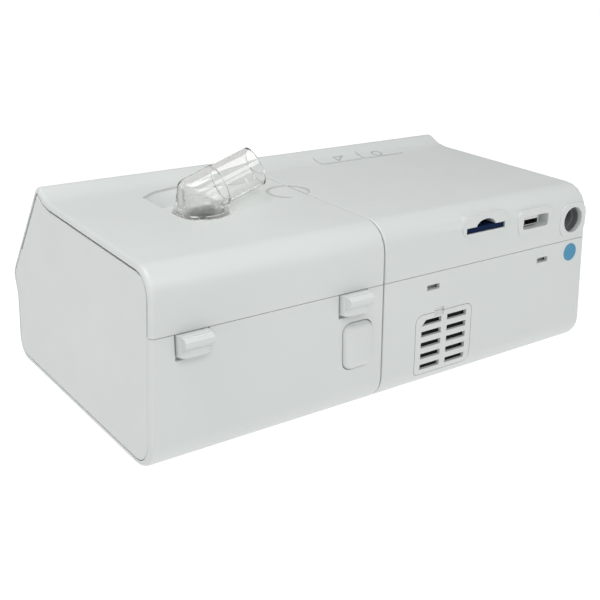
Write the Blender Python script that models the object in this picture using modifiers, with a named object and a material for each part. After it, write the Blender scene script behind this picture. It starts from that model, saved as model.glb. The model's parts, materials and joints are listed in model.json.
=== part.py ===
"""Bedside CPAP machine: a flow generator with a heated humidifier docked to its side.

Metres, +Z up. X runs along the length, +X at the humidifier's end. +Y is the rear, where the
ports, the air filter and the latches are. The origin is on the table, under the middle of the
machine's bounding box. The body is one side profile, drawn in the YZ plane, run along X.
"""

import math

import bmesh
import bpy
from mathutils import Matrix, Vector

# Body: the side profile, measured forward from the rear face and up from the body's underside
BODY_LENGTH = 0.2932
END_DRAFT = math.radians(3.25)
FOOT_DROP = 0.0025
REAR_HEIGHT = 0.0982
UPPER_HEIGHT = 0.0308
TOP_TILT = math.radians(2.35)
RIDGE_FOOT_DEPTH = 0.127
RIDGE_RUN = 0.010
RIDGE_RISE = 0.0072
FRONT_TILT = math.radians(52.7)
NOSE_DROP = 0.0169
UNDER_NOSE_SETBACK = 0.0058
UNDER_NOSE_DROP = 0.0145
FRONT_FOOT_SETBACK = 0.0063
REAR_BOTTOM_RADIUS = 0.016
REAR_TOP_RADIUS = 0.015
RIDGE_FOOT_RADIUS = 0.025
RIDGE_RADIUS = 0.005
NOSE_RADIUS = 0.009
UNDER_NOSE_RADIUS = 0.010
FRONT_BOTTOM_RADIUS = 0.013
LEAST_RADIUS = 0.0004
ARC_STEP = math.radians(18)

# Joints of the casing
SEAM_X = 0.0115
GAP = 0.0003
SEAM_GAP = 0.0006
END_EDGE_RADIUS = 0.0025
SEAM_EDGE_RADIUS = 0.0009
WALL = 0.0025
RIM = 0.0030
PANEL_WALL = 0.0026
PANEL_EDGE_RADIUS = 0.0006
LID_SWING_GAP = 0.0013

# Hinges of the humidifier's lid, on the sloping front
HINGE_STANDOFF = 0.0008
KNUCKLE_RADIUS = 0.0026
KNUCKLE_LENGTH = 0.0060
HINGE_PIN_RADIUS = 0.0011
HINGE_INSET = 0.0240

# Clearances and cutters
OVERRUN = 0.004
BUTTON_GAP = 0.0004
HOLE_GAP = 0.0004
MERGE = 0.00001
ROUND_SIDES = 24
FINE_SIDES = 36

# Latches at the rear of the humidifier
LATCH_REACH = 0.0080
LATCH_BLOCK_REACH = 0.0048
LATCH_WIDTH = 0.0164
LATCH_LIP_WIDTH = 0.0148
LATCH_CORNER = 0.0036
LATCH_HEIGHT = 0.0102
LATCH_ROOT = 0.0020
LATCH_LIP_TOP_DROP = 0.0016
LATCH_LIP_THICKNESS = 0.0039
LATCH_LIP_UNDERSIDE = 0.0074
LATCH_TRAVEL = 0.0020
LATCH_SIDE_GAP = 0.0008
LATCH_END_INSET = 0.0242
LATCH_SEAM_INSET = 0.0197

# Release button beside the seam
RELEASE_WIDTH = 0.0185
RELEASE_HEIGHT = 0.0251
RELEASE_CORNER = 0.0048
RELEASE_PROUD = 0.0026
RELEASE_EDGE = 0.0030
RELEASE_DEPTH = 0.0028
RELEASE_SEAM_INSET = 0.0166
RELEASE_LATCH_GAP = 0.0037

# Top keys on the ridge of the flow generator
KEY_WIDTH = 0.0322
KEY_LENGTH = 0.0112
KEY_CORNER = 0.0020
KEY_PROUD = 0.0005
KEY_THICKNESS = 0.0032
KEY_PITCH = 0.0337
KEY_SEAM_INSET = 0.07895
KEY_FOOT_SETBACK = 0.0032

# Display and knob on the sloping front
WINDOW_END_INSET = 0.0166
WINDOW_KNOB_GAP = 0.0160
WINDOW_HEIGHT = 0.0400
WINDOW_CORNER = 0.0060
WINDOW_THICKNESS = 0.0016
WINDOW_LEDGE = 0.0035
LCD_THICKNESS = 0.0050
LCD_MARGIN = 0.0006
KNOB_SEAM_INSET = 0.0352
KNOB_SLOPE_DROP = 0.0060
KNOB_RADIUS = 0.0140
KNOB_HEIGHT = 0.0075
KNOB_FLOAT = 0.0006
KNOB_WALL = 0.0020
KNOB_TOP_RADIUS = 0.0122
KNOB_FLUTES = 12
KNOB_FLUTE_RADIUS = 0.0014
ENCODER_SIDE = 0.0130
ENCODER_THICKNESS = 0.0070
ENCODER_BUSH_RADIUS = 0.0035
ENCODER_SHAFT_RADIUS = 0.0030
KNOB_BOSS_RADIUS = 0.0055
WATER_WINDOW_INSET = 0.0250
WATER_WINDOW_HEIGHT = 0.0260

# Air filter at the rear of the flow generator
CAP_SEAM_INSET = 0.0428
CAP_BOTTOM_HEIGHT = 0.0092
CAP_WIDTH = 0.0406
CAP_HEIGHT = 0.0352
CAP_CORNER = 0.0040
CAP_THICKNESS = 0.0020
CAP_ROOM = 0.0012
SLOT_WIDTH = 0.0142
SLOT_HEIGHT = 0.0032
SLOT_MULLION = 0.0042
SLOT_PITCH = 0.0064
SLOT_ROWS = 5
SLOT_TOP_MARGIN = 0.0047
SLOT_CUT_CORNER = 0.0030
NAIL_NOTCH_RADIUS = 0.0034
NAIL_NOTCH_OFFSET = 0.0040
NAIL_NOTCH_DEPTH = 0.0012
FILTER_LEDGE = 0.0022
FOAM_THICKNESS = 0.0050
FILTER_BACK_BORDER = 0.0040

# Small hook slots in the lower housing
HOOK_SLOT_WIDTH = 0.0088
HOOK_SLOT_HEIGHT = 0.0030
HOOK_SLOT_DROP = 0.0082
HOOK_SLOT_SEAM_INSET = 0.0337
HOOK_SLOT_END_INSET = 0.0397

# Ports on the rear top corner
PORT_PROUD = 0.0004
PORT_ROOT = 0.0100
CARD_DATA_SPACING = 0.0395
CARD_WIDTH = 0.0282
CARD_THICKNESS = 0.0028
CARD_LENGTH = 0.0320
CARD_RISE = 0.0186
CARD_SINK = 0.0004
CARD_SLOT_BORDER = 0.0030
CARD_BOSS_HEIGHT = 0.0118
CARD_BOSS_CORNER = 0.0050
CARD_THUMB_WIDTH = 0.0144
CARD_THUMB_HEIGHT = 0.0040
CARD_THUMB_STEPS = 8
SOCKET_WALL = 0.0016
DATA_POWER_SPACING = 0.0321
DATA_PORT_RISE = 0.0162
DATA_BOSS_WIDTH = 0.0278
DATA_BOSS_HEIGHT = 0.0140
DATA_BOSS_CORNER = 0.0040
DATA_POCKET_WIDTH = 0.0204
DATA_POCKET_HEIGHT = 0.0074
DATA_POCKET_DEPTH = 0.0065
DATA_SHELL_WIDTH = 0.0120
DATA_SHELL_HEIGHT = 0.0056
DATA_SHELL_WALL = 0.0006
DATA_SHELL_LENGTH = 0.0150
DATA_SHELL_REACH = 0.0035
DATA_TONGUE_THICKNESS = 0.0016
POWER_END_INSET = 0.0163
POWER_RISE = 0.0121
POWER_BOSS_WIDTH = 0.0215
POWER_BOSS_HEIGHT = 0.0190
POWER_BOSS_CORNER = 0.0060
POWER_HOLE_RADIUS = 0.0076
POWER_FACE_DEPTH = 0.0055
POWER_JACK_LENGTH = 0.0140
POWER_BORE_RADIUS = 0.0058
POWER_BORE_DEPTH = 0.0090
POWER_PIN_RADIUS = 0.0011
BOARD_THICKNESS = 0.0016
IO_BOARD_DEPTH = 0.0260
IO_BOARD_MARGIN = 0.0060

# Outlet recess in the humidifier's top and the elbow in it
ELBOW_SEAM_INSET = 0.0587
ELBOW_FOOT_SETBACK = 0.0435
RECESS_DEPTH = 0.0074
RECESS_LENGTH = 0.0920
RECESS_WIDTH = 0.0660
RECESS_DRAFT_SHARE = 0.82
RECESS_FLAT_SHARE = 0.34
RECESS_END_RISE = 0.0060
RECESS_WALL = 0.0030
# Plan outline from the elbow's axis: shares of the length along +X, shares of the width along +Y
RECESS_SHARES = (
    (0.245, -0.355),
    (0.250, 0.270),
    (0.235, 0.410),
    (0.175, 0.478),
    (0.075, 0.490),
    (-0.030, 0.430),
    (-0.180, 0.345),
    (-0.350, 0.285),
    (-0.560, 0.255),
    (-0.690, 0.215),
    (-0.748, 0.060),
    (-0.700, -0.095),
    (-0.560, -0.150),
    (-0.350, -0.290),
    (-0.180, -0.450),
    (-0.030, -0.525),
    (0.130, -0.470),
)
ELBOW_TURN = math.radians(173.0)
ELBOW_RISE = math.radians(20.7)
ELBOW_KNEE_RISE = 0.0114
ELBOW_REACH = 0.0346
TUBE_RADIUS = 0.01105
TUBE_BORE_RADIUS = 0.0094
TUBE_STEP = 0.0005
TUBE_STEP_SHARE = 0.35
COLLAR_RADIUS = 0.0143
BASE_RING_RADIUS = 0.0153
BASE_RING_THICKNESS = 0.0024
BASE_RING_FLOAT = 0.0007
BAYONET_NOTCH_WIDTH = 0.0040
BAYONET_NOTCH_DEPTH = 0.0016
BAYONET_TURNS = (math.radians(31), math.radians(65))
SPIGOT_RADIUS = 0.0102
SPIGOT_BORE_RADIUS = 0.0086
SPIGOT_LENGTH = 0.0095
SEAL_GROOVE_DEPTH = 0.0008
SEAL_HEIGHT = 0.0022
SEAL_DROP = 0.0045
PORT_BORE_RADIUS = 0.0110
PORT_OUTER_RADIUS = 0.0138
PORT_FLANGE_RADIUS = 0.0162
PORT_FLANGE_THICKNESS = 0.0016

# Water tank, its cover and the heater under it
TANK_SIDE_GAP = 0.0030
TANK_FRONT_GAP = 0.0129
TANK_REAR_GAP = 0.0090
TANK_CORNER = 0.0120
TANK_WALL = 0.0020
TANK_FLANGE = 0.0020
TANK_TOP_DROP = 0.0014
COVER_THICKNESS = 0.0022
COVER_NECK_HEIGHT = 0.0060
COVER_NECK_RADIUS = 0.0150
COVER_HOLE_RADIUS = 0.0118
TANK_SEAL_THICKNESS = 0.0030
HEATER_RADIUS = 0.0420
HEATER_THICKNESS = 0.0030
HEATER_LIP = 0.0030
INSULATOR_THICKNESS = 0.0036

# Air path inside
BLOWER_END_INSET = 0.0686
BLOWER_BOARD_GAP = 0.0155
CASING_RADIUS = 0.0360
CASING_WALL = 0.0026
CASING_BOTTOM_HEIGHT = 0.0200
CASING_HEIGHT = 0.0360
CASING_INLET_RADIUS = 0.0140
CASING_SHAFT_HOLE_RADIUS = 0.0050
MOTOR_RADIUS = 0.0180
MOTOR_SHAFT_RADIUS = 0.0015
MOTOR_SHAFT_LENGTH = 0.0200
MOUNT_RING_WALL = 0.0060
MOUNT_LIP_RADIUS = 0.0300
MOUNT_LIP_THICKNESS = 0.0030
IMPELLER_TIP_GAP = 0.0044
IMPELLER_PLATE = 0.0016
IMPELLER_FLOAT = 0.0020
IMPELLER_BLADE_HEIGHT = 0.0120
IMPELLER_BLADE_THICKNESS = 0.0014
IMPELLER_HUB_RADIUS = 0.0060
IMPELLER_HUB_HEIGHT = 0.0150
IMPELLER_BLADES = 9
IMPELLER_SWEEP = math.radians(62)
IMPELLER_BLADE_POINTS = 6
IMPELLER_EYE_RADIUS = 0.0095
DUCT_DROP = 0.0284
DUCT_RADIUS = 0.0104
DUCT_WALL = 0.0020
SLEEVE_OVERHANG = 0.0016
SILENCER_WIDTH = 0.0400
SILENCER_DEPTH = 0.0200
SILENCER_HEIGHT = 0.0400
CIRCUIT_CASING_GAP = 0.0040
CIRCUIT_MARGIN = 0.0080
CIRCUIT_DEPTH = 0.0500
CIRCUIT_FRONT_GAP = 0.0150
PILLAR_RADIUS = 0.0034
PILLAR_INSET = 0.0060

# Feet
FOOT_RADIUS = 0.0070
FOOT_POCKET = 0.0012
FOOT_SIDE_INSET = 0.0210
FOOT_REAR_DEPTH = 0.0300
FOOT_FRONT_INSET = 0.0265
FOOT_SEAM_INSET = 0.0180

# Places and sizes that follow from those above
BASE_Z = FOOT_DROP
PARTING_HEIGHT = REAR_HEIGHT - UPPER_HEIGHT
PARTING_Z = BASE_Z + PARTING_HEIGHT
RIDGE_DEPTH = RIDGE_FOOT_DEPTH + RIDGE_RUN
RIDGE_FOOT_HEIGHT = REAR_HEIGHT + RIDGE_FOOT_DEPTH * math.tan(TOP_TILT)
RIDGE_HEIGHT = RIDGE_FOOT_HEIGHT + RIDGE_RISE
NOSE_HEIGHT = PARTING_HEIGHT - NOSE_DROP
FRONT_SLOPE = math.tan(FRONT_TILT)
NOSE_DEPTH = RIDGE_DEPTH + (RIDGE_HEIGHT - NOSE_HEIGHT) / FRONT_SLOPE
PARTING_DEPTH = RIDGE_DEPTH + (RIDGE_HEIGHT - PARTING_HEIGHT) / FRONT_SLOPE
HALF_LENGTH = BODY_LENGTH / 2
DRAFT_RUN = math.tan(END_DRAFT)
FRONT_NORMAL = Vector((0, -math.sin(FRONT_TILT), math.cos(FRONT_TILT)))
UP_SLOPE = Vector((0, math.cos(FRONT_TILT), math.sin(FRONT_TILT)))
MAIN_SEAM_X = SEAM_X - SEAM_GAP / 2
HUMIDIFIER_SEAM_X = SEAM_X + SEAM_GAP / 2
HINGE_Z = PARTING_Z

LATCH_OUTER_X = HALF_LENGTH - LATCH_END_INSET
LATCH_INNER_X = HUMIDIFIER_SEAM_X + LATCH_SEAM_INSET
LATCH_FOOT_HEIGHT = PARTING_HEIGHT - GAP - LATCH_HEIGHT
LATCH_POCKET_HEIGHT = LATCH_FOOT_HEIGHT - LATCH_TRAVEL - GAP
RELEASE_X = HUMIDIFIER_SEAM_X + RELEASE_SEAM_INSET
RELEASE_Z_HEIGHT = LATCH_POCKET_HEIGHT - RELEASE_LATCH_GAP - RELEASE_HEIGHT / 2
KEY_MID_X = MAIN_SEAM_X - KEY_SEAM_INSET
KEY_DEPTH = RIDGE_FOOT_DEPTH - KEY_FOOT_SETBACK
KNOB_X = MAIN_SEAM_X - KNOB_SEAM_INSET
WINDOW_LOW_X = -HALF_LENGTH + WINDOW_END_INSET
WINDOW_WIDTH = KNOB_X - KNOB_RADIUS - WINDOW_KNOB_GAP - WINDOW_LOW_X
WINDOW_X = WINDOW_LOW_X + WINDOW_WIDTH / 2
WATER_WINDOW_WIDTH = HALF_LENGTH - HUMIDIFIER_SEAM_X - 2 * WATER_WINDOW_INSET
WATER_WINDOW_X = (HUMIDIFIER_SEAM_X + HALF_LENGTH) / 2

CAP_X = MAIN_SEAM_X - CAP_SEAM_INSET
HOOK_SLOT_Z_HEIGHT = PARTING_HEIGHT - HOOK_SLOT_DROP
HOOK_SLOT_FIRST_X = MAIN_SEAM_X - HOOK_SLOT_SEAM_INSET
HOOK_SLOT_SPACING = HOOK_SLOT_FIRST_X + HALF_LENGTH - HOOK_SLOT_END_INSET
POWER_X = -HALF_LENGTH + POWER_END_INSET
DATA_PORT_X = POWER_X + DATA_POWER_SPACING
CARD_X = DATA_PORT_X + CARD_DATA_SPACING
POWER_Z_HEIGHT = PARTING_HEIGHT + POWER_RISE
DATA_PORT_Z_HEIGHT = PARTING_HEIGHT + DATA_PORT_RISE
CARD_Z_HEIGHT = PARTING_HEIGHT + CARD_RISE

ELBOW_X = HUMIDIFIER_SEAM_X + ELBOW_SEAM_INSET
ELBOW_DEPTH = RIDGE_FOOT_DEPTH - ELBOW_FOOT_SETBACK
SKIN_Z = BASE_Z + REAR_HEIGHT + ELBOW_DEPTH * math.tan(TOP_TILT)
RECESS_FLOOR_Z = SKIN_Z - RECESS_DEPTH
BASE_RING_Z = RECESS_FLOOR_Z + BASE_RING_FLOAT
TANK_DEPTH = PARTING_DEPTH - TANK_FRONT_GAP - TANK_REAR_GAP - RIM
HEATER_X = (HUMIDIFIER_SEAM_X + HALF_LENGTH) / 2

CIRCUIT_HEIGHT = CASING_BOTTOM_HEIGHT + CASING_HEIGHT + CIRCUIT_CASING_GAP
CIRCUIT_LOW_DEPTH = RIDGE_DEPTH + (RIDGE_HEIGHT - CIRCUIT_HEIGHT) / FRONT_SLOPE
CIRCUIT_FRONT_DEPTH = CIRCUIT_LOW_DEPTH - CIRCUIT_FRONT_GAP
BLOWER_X = -HALF_LENGTH + BLOWER_END_INSET
BLOWER_DEPTH = CIRCUIT_FRONT_DEPTH - CIRCUIT_DEPTH - BLOWER_BOARD_GAP
IMPELLER_RADIUS = CASING_RADIUS - CASING_WALL - IMPELLER_TIP_GAP
DUCT_Z = PARTING_Z - DUCT_DROP
FOOT_FRONT_DEPTH = NOSE_DEPTH - FRONT_FOOT_SETBACK - FOOT_FRONT_INSET

COLOURS = {
    "white_plastic": ((0.80, 0.82, 0.81), 0.45, 0.0),
    "clear_plastic": ((0.86, 0.89, 0.90), 0.08, 0.0),
    "dark_glass": ((0.02, 0.02, 0.025), 0.10, 0.0),
    "grey_plastic": ((0.35, 0.36, 0.38), 0.50, 0.0),
    "dark_plastic": ((0.03, 0.03, 0.035), 0.45, 0.0),
    "navy_plastic": ((0.02, 0.05, 0.16), 0.40, 0.0),
    "rubber": ((0.05, 0.05, 0.05), 0.85, 0.0),
    "foam": ((0.12, 0.12, 0.13), 0.95, 0.0),
    "aluminium": ((0.75, 0.76, 0.77), 0.30, 1.0),
    "steel": ((0.60, 0.61, 0.62), 0.25, 1.0),
    "circuit_green": ((0.02, 0.18, 0.08), 0.50, 0.0),
}


# Scene and object helpers


def clear_scene():
    for old in list(bpy.data.objects):
        bpy.data.objects.remove(old, do_unlink=True)


def make_collection(name, hidden):
    made = bpy.data.collections.new(name)
    bpy.context.scene.collection.children.link(made)
    made.hide_render = hidden
    return made


def make_material(name):
    colour, roughness, metallic = COLOURS[name]
    made = bpy.data.materials.get(name)
    if made is None:
        made = bpy.data.materials.new(name)
        made.use_nodes = True
        shader = made.node_tree.nodes["Principled BSDF"]
        shader.inputs["Base Color"].default_value = (*colour, 1)
        shader.inputs["Roughness"].default_value = roughness
        shader.inputs["Metallic"].default_value = metallic
    return made


def place_mesh(name, mesh, finish=None, matrix=None):
    """A new object for the mesh: a part where a finish is named, and a hidden cutter where not."""
    made = bpy.data.objects.new(name, mesh)
    if finish:
        PARTS.objects.link(made)
        mesh.materials.append(make_material(finish))
    else:
        CUTTERS.objects.link(made)
        made.hide_render = True
        made.display_type = "WIRE"
    if matrix:
        made.matrix_world = matrix
    return made


def finish_mesh(name, shape):
    bmesh.ops.recalc_face_normals(shape, faces=shape.faces)
    mesh = bpy.data.meshes.new(name)
    shape.to_mesh(mesh)
    shape.free()
    mesh.shade_smooth()
    mesh.set_sharp_from_angle(angle=math.radians(32))
    return mesh


def combine(target, other, operation="DIFFERENCE"):
    change = target.modifiers.new(other.name, "BOOLEAN")
    change.operation = operation
    change.solver = "EXACT"
    change.object = other
    return target


def combine_all(target, others, operation="DIFFERENCE"):
    for other in others:
        combine(target, other, operation)
    return target


# Plain shapes


def make_box(name, low, high, finish=None):
    shape = bmesh.new()
    bmesh.ops.create_cube(shape, size=1)
    sizes = Vector(high) - Vector(low)
    middle = (Vector(high) + Vector(low)) / 2
    bmesh.ops.scale(shape, vec=sizes, verts=shape.verts)
    bmesh.ops.translate(shape, vec=middle, verts=shape.verts)
    return place_mesh(name, finish_mesh(name, shape), finish)


def make_prism(name, outline, matrix, low, high, finish=None):
    """An outline in the matrix's own XY plane, extruded along its Z from low to high."""
    shape = bmesh.new()
    face = shape.faces.new([shape.verts.new((x, y, low)) for x, y in outline])
    raised = bmesh.ops.extrude_face_region(shape, geom=[face])["geom"]
    moved = [item for item in raised if isinstance(item, bmesh.types.BMVert)]
    bmesh.ops.translate(shape, vec=(0, 0, high - low), verts=moved)
    return place_mesh(name, finish_mesh(name, shape), finish, matrix)


def make_cylinder(name, radius, start, end, finish=None, sides=ROUND_SIDES, end_radius=None):
    start, end = Vector(start), Vector(end)
    run = end - start
    shape = bmesh.new()
    bmesh.ops.create_cone(
        shape,
        cap_ends=True,
        segments=sides,
        radius1=radius,
        radius2=radius if end_radius is None else end_radius,
        depth=run.length,
    )
    turn = run.to_track_quat("Z", "Y").to_matrix().to_4x4()
    matrix = Matrix.Translation((start + end) / 2) @ turn
    return place_mesh(name, finish_mesh(name, shape), finish, matrix)


def make_turned(name, profile, place, finish=None, sides=ROUND_SIDES):
    """A profile of (radius, height) points turned about Z at the place. A closed ring, or a
    solid where the profile starts and ends on the axis. It runs down the outer side."""
    mesh = bpy.data.meshes.new(name)
    points = [(radius, 0, height) for radius, height in profile]
    edges = [(i, i + 1) for i in range(len(points) - 1)]
    if profile[0][0] > 0:
        edges.append((len(points) - 1, 0))
    mesh.from_pydata(points, edges, [])
    made = place_mesh(name, mesh, finish, Matrix.Translation(place))
    screw = made.modifiers.new("Turn", "SCREW")
    screw.axis = "Z"
    screw.angle = math.tau
    screw.steps = sides
    screw.render_steps = sides
    screw.use_merge_vertices = True
    screw.merge_threshold = MERGE
    screw.use_smooth_shade = True
    return made


def make_loft(name, rings, finish=None, matrix=None):
    """A closed skin through rings of points, with both ends capped."""
    shape = bmesh.new()
    rows = [[shape.verts.new(point) for point in ring] for ring in rings]
    for row, following in zip(rows, rows[1:]):
        for index in range(len(row)):
            after = (index + 1) % len(row)
            shape.faces.new((row[index], row[after], following[after], following[index]))
    shape.faces.new(reversed(rows[0]))
    shape.faces.new(rows[-1])
    return place_mesh(name, finish_mesh(name, shape), finish, matrix)


def rounded_rectangle(width, height, corner, steps=3):
    points = []
    for quarter in range(4):
        side_x = 1 if quarter in (0, 3) else -1
        side_y = 1 if quarter in (0, 1) else -1
        middle = Vector((side_x * (width / 2 - corner), side_y * (height / 2 - corner)))
        for step in range(steps + 1):
            angle = (quarter + step / steps) * math.pi / 2
            points.append(tuple(middle + corner * Vector((math.cos(angle), math.sin(angle)))))
    return points


def rear_frame(x, height):
    """Local X runs along -X, local Y up and local Z out of the rear face."""
    turn = Matrix(((-1, 0, 0), (0, 0, 1), (0, 1, 0))).to_4x4()
    return Matrix.Translation((x, REAR_Y, BASE_Z + height)) @ turn


def upright_frame(x, y):
    return Matrix.Translation((x, y, 0))


def front_frame(x, shift=0.0):
    """Local X runs along X, local Y up the sloping front and local Z out of it. The shift
    moves it up the slope from the middle."""
    turn = Matrix((Vector((1, 0, 0)), UP_SLOPE, FRONT_NORMAL)).transposed().to_4x4()
    return Matrix.Translation(front_middle(x) + UP_SLOPE * shift) @ turn


def front_middle(x):
    """A point on the sloping front, halfway between the parting and the ridge."""
    middle_z = (PARTING_Z + BASE_Z + RIDGE_HEIGHT) / 2
    return Vector((x, front_y_at(middle_z), middle_z))


def front_y_at(z):
    """Where the sloping front lies at a height."""
    drop = BASE_Z + RIDGE_HEIGHT - z
    return REAR_Y - RIDGE_DEPTH - drop / FRONT_SLOPE


# The body's side profile


def measured_corners():
    """Corners of the side profile: depth from the rear face, height and radius."""
    return (
        (0, 0, REAR_BOTTOM_RADIUS),
        (0, REAR_HEIGHT, REAR_TOP_RADIUS),
        (RIDGE_FOOT_DEPTH, RIDGE_FOOT_HEIGHT, RIDGE_FOOT_RADIUS),
        (RIDGE_DEPTH, RIDGE_HEIGHT, RIDGE_RADIUS),
        (NOSE_DEPTH, NOSE_HEIGHT, NOSE_RADIUS),
        (NOSE_DEPTH - UNDER_NOSE_SETBACK, NOSE_HEIGHT - UNDER_NOSE_DROP, UNDER_NOSE_RADIUS),
        (NOSE_DEPTH - FRONT_FOOT_SETBACK, 0, FRONT_BOTTOM_RADIUS),
    )


def profile_corners():
    """The corners in the machine's frame, anticlockwise with the rear at the right."""
    placed = []
    for depth, height, radius in measured_corners():
        placed.append((REAR_Y - depth, BASE_Z + height, radius))
    return placed


def centred_rear():
    """Where the rear face lies when nose and latches are as far from the middle."""
    corners = [(-depth, height, radius) for depth, height, radius in measured_corners()]
    nose = min(y for y, z in round_corners(corners, corner_steps(corners)))
    return -(nose + LATCH_REACH) / 2


def crossing(point, run, other, other_run):
    """Where two lines in the plane meet."""
    spread = run.x * other_run.y - run.y * other_run.x
    along = ((other.x - point.x) * other_run.y - (other.y - point.y) * other_run.x) / spread
    return point + run * along


def inset_corners(corners, inset):
    """The same corners with each side moved inwards, and the radii that keep the wall even."""
    moved = []
    count = len(corners)
    for index in range(count):
        before = Vector(corners[index - 1][:2])
        here = Vector(corners[index][:2])
        after = Vector(corners[(index + 1) % count][:2])
        run_in = (here - before).normalized()
        run_out = (after - here).normalized()
        side_in = Vector((-run_in.y, run_in.x)) * inset
        side_out = Vector((-run_out.y, run_out.x)) * inset
        place = crossing(before + side_in, run_in, here + side_out, run_out)
        convex = run_in.x * run_out.y - run_in.y * run_out.x > 0
        radius = corners[index][2] + (-inset if convex else inset)
        moved.append((place.x, place.y, max(radius, LEAST_RADIUS)))
    return moved


def round_corners(corners, turns):
    """The outline with each corner as an arc of its radius."""
    outline = []
    count = len(corners)
    for index in range(count):
        before = Vector(corners[index - 1][:2])
        here = Vector(corners[index][:2])
        after = Vector(corners[(index + 1) % count][:2])
        radius = corners[index][2]
        run_in = (here - before).normalized()
        run_out = (after - here).normalized()
        turn = run_in.angle_signed(run_out)
        tangent = radius * abs(math.tan(turn / 2))
        start = here - run_in * tangent
        side = Vector((-run_in.y, run_in.x)) * (1 if turn < 0 else -1)
        centre = start + side * radius
        steps = turns[index]
        for step in range(steps + 1):
            angle = -turn * step / steps
            outline.append(centre + Matrix.Rotation(angle, 2) @ (start - centre))
    return [(point.x, point.y) for point in outline]


def corner_steps(corners):
    """The number of facets on each corner of the profile, by the angle that it turns."""
    steps = []
    for index in range(len(corners)):
        before = Vector(corners[index - 1][:2])
        here = Vector(corners[index][:2])
        after = Vector(corners[(index + 1) % len(corners)][:2])
        turn = abs((here - before).angle_signed(after - here))
        steps.append(max(2, math.ceil(turn / ARC_STEP)))
    return steps


def section(inset):
    corners = profile_corners()
    return round_corners(inset_corners(corners, inset), corner_steps(corners))


# Blocks that run along X with the profile's section


def drafted_end(side, pull=0.0):
    """The place of a drafted end face, as X at a height. Pull moves it inwards."""
    return lambda z: side * (HALF_LENGTH - DRAFT_RUN * (z - BASE_Z) - pull)


def flat_end(x):
    return lambda z: x


def end_rings(place, side, inset, radius, steps=3):
    """Sections of a block's end, from its face inwards round an edge of the radius."""
    if not radius:
        return [[(place(z), y, z) for y, z in section(inset)]]
    rings = []
    for step in range(steps + 1):
        angle = math.pi / 2 * step / steps
        inwards = radius * (1 - math.cos(angle))
        ring = section(inset + radius * (1 - math.sin(angle)))
        rings.append([(place(z) - side * inwards, y, z) for y, z in ring])
    return rings


def make_block(name, low, high, inset=0.0, low_radius=0.0, high_radius=0.0, finish=None):
    """A loft of the profile along X, between two end places."""
    rings = end_rings(low, -1, inset, low_radius)
    rings += reversed(end_rings(high, 1, inset, high_radius))
    return make_loft(name, rings, finish)


def make_half_space(name, low_z, high_z):
    reach = BODY_LENGTH
    return make_box(name, (-reach, -reach, low_z), (reach, reach, high_z))


# The casing's shells


def make_cutting_planes():
    top_z = BASE_Z + RIDGE_HEIGHT + OVERRUN
    above = make_half_space("above_parting", PARTING_Z + GAP / 2, top_z)
    below = make_half_space("below_parting", BASE_Z - OVERRUN, PARTING_Z - GAP / 2)
    return above, below


def make_main_outer(name, finish):
    return make_block(
        name,
        drafted_end(-1),
        flat_end(MAIN_SEAM_X),
        low_radius=END_EDGE_RADIUS,
        high_radius=SEAM_EDGE_RADIUS,
        finish=finish,
    )


def make_humidifier_outer(name, finish):
    return make_block(
        name,
        flat_end(HUMIDIFIER_SEAM_X),
        drafted_end(1),
        low_radius=SEAM_EDGE_RADIUS,
        high_radius=END_EDGE_RADIUS,
        finish=finish,
    )


def make_main_cavity(name):
    low = drafted_end(-1, WALL)
    return make_block(name, low, flat_end(MAIN_SEAM_X - WALL), inset=WALL)


def make_humidifier_cavity(name):
    """The hollow of lid and base. It runs out of the end, which the end panel closes."""
    low = flat_end(HUMIDIFIER_SEAM_X + WALL)
    return make_block(name, low, drafted_end(1, -OVERRUN), inset=RIM)


def make_main_shells(above, below):
    upper = make_main_outer("main_upper_housing", "white_plastic")
    combine(upper, above, "INTERSECT")
    upper_cavity = make_main_cavity("main_upper_cavity")
    combine(upper_cavity, make_recess("channel_body", RECESS_WALL))
    combine(upper, upper_cavity)
    combine(upper, make_recess("channel", 0.0))
    lower = make_main_outer("main_lower_housing", "white_plastic")
    combine(lower, below, "INTERSECT")
    lower_cavity = make_main_cavity("main_lower_cavity")
    combine_all(lower_cavity, [make_filter_well_body(), *make_pillars()])
    combine(lower, lower_cavity)
    return upper, lower


def make_humidifier_shells(above, below):
    lid = make_humidifier_outer("humidifier_lid", "white_plastic")
    combine(lid, above, "INTERSECT")
    lid_cavity = make_humidifier_cavity("lid_cavity")
    combine(lid_cavity, make_recess("recess_body", RECESS_WALL))
    combine(lid, lid_cavity)
    base = make_humidifier_outer("humidifier_base", "white_plastic")
    combine(base, below, "INTERSECT")
    combine(base, make_humidifier_cavity("base_cavity"))
    return lid, base


def make_end_panel(below):
    """Closes the humidifier's end. Its upper part leaves the lid's rim room to swing past."""
    panel = make_block(
        "end_panel",
        drafted_end(1, PANEL_WALL),
        drafted_end(1),
        inset=RIM + LID_SWING_GAP,
        high_radius=PANEL_EDGE_RADIUS,
        finish="white_plastic",
    )
    foot = make_block(
        "end_panel_foot",
        drafted_end(1, PANEL_WALL),
        drafted_end(1),
        inset=RIM + GAP,
        high_radius=PANEL_EDGE_RADIUS,
    )
    combine(foot, below, "INTERSECT")
    return combine(panel, foot, "UNION")


# Panels that follow the body's skin


def make_skin_panel(name, outline, matrix, span, proud, thickness, finish):
    """A piece of the body's skin inside an outline, with its face proud of the skin. The span
    is where the outline's prism starts and ends along its own Z."""
    panel = make_block(name, drafted_end(-1, -proud), drafted_end(1, -proud), inset=-proud)
    CUTTERS.objects.unlink(panel)
    PARTS.objects.link(panel)
    panel.hide_render = False
    panel.display_type = "TEXTURED"
    panel.data.materials.append(make_material(finish))
    combine(panel, make_prism(name + "_outline", outline, matrix, *span), "INTERSECT")
    back = make_block(
        name + "_back",
        drafted_end(-1, -OVERRUN),
        drafted_end(1, -OVERRUN),
        inset=thickness,
    )
    combine(panel, back)
    return panel


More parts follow.
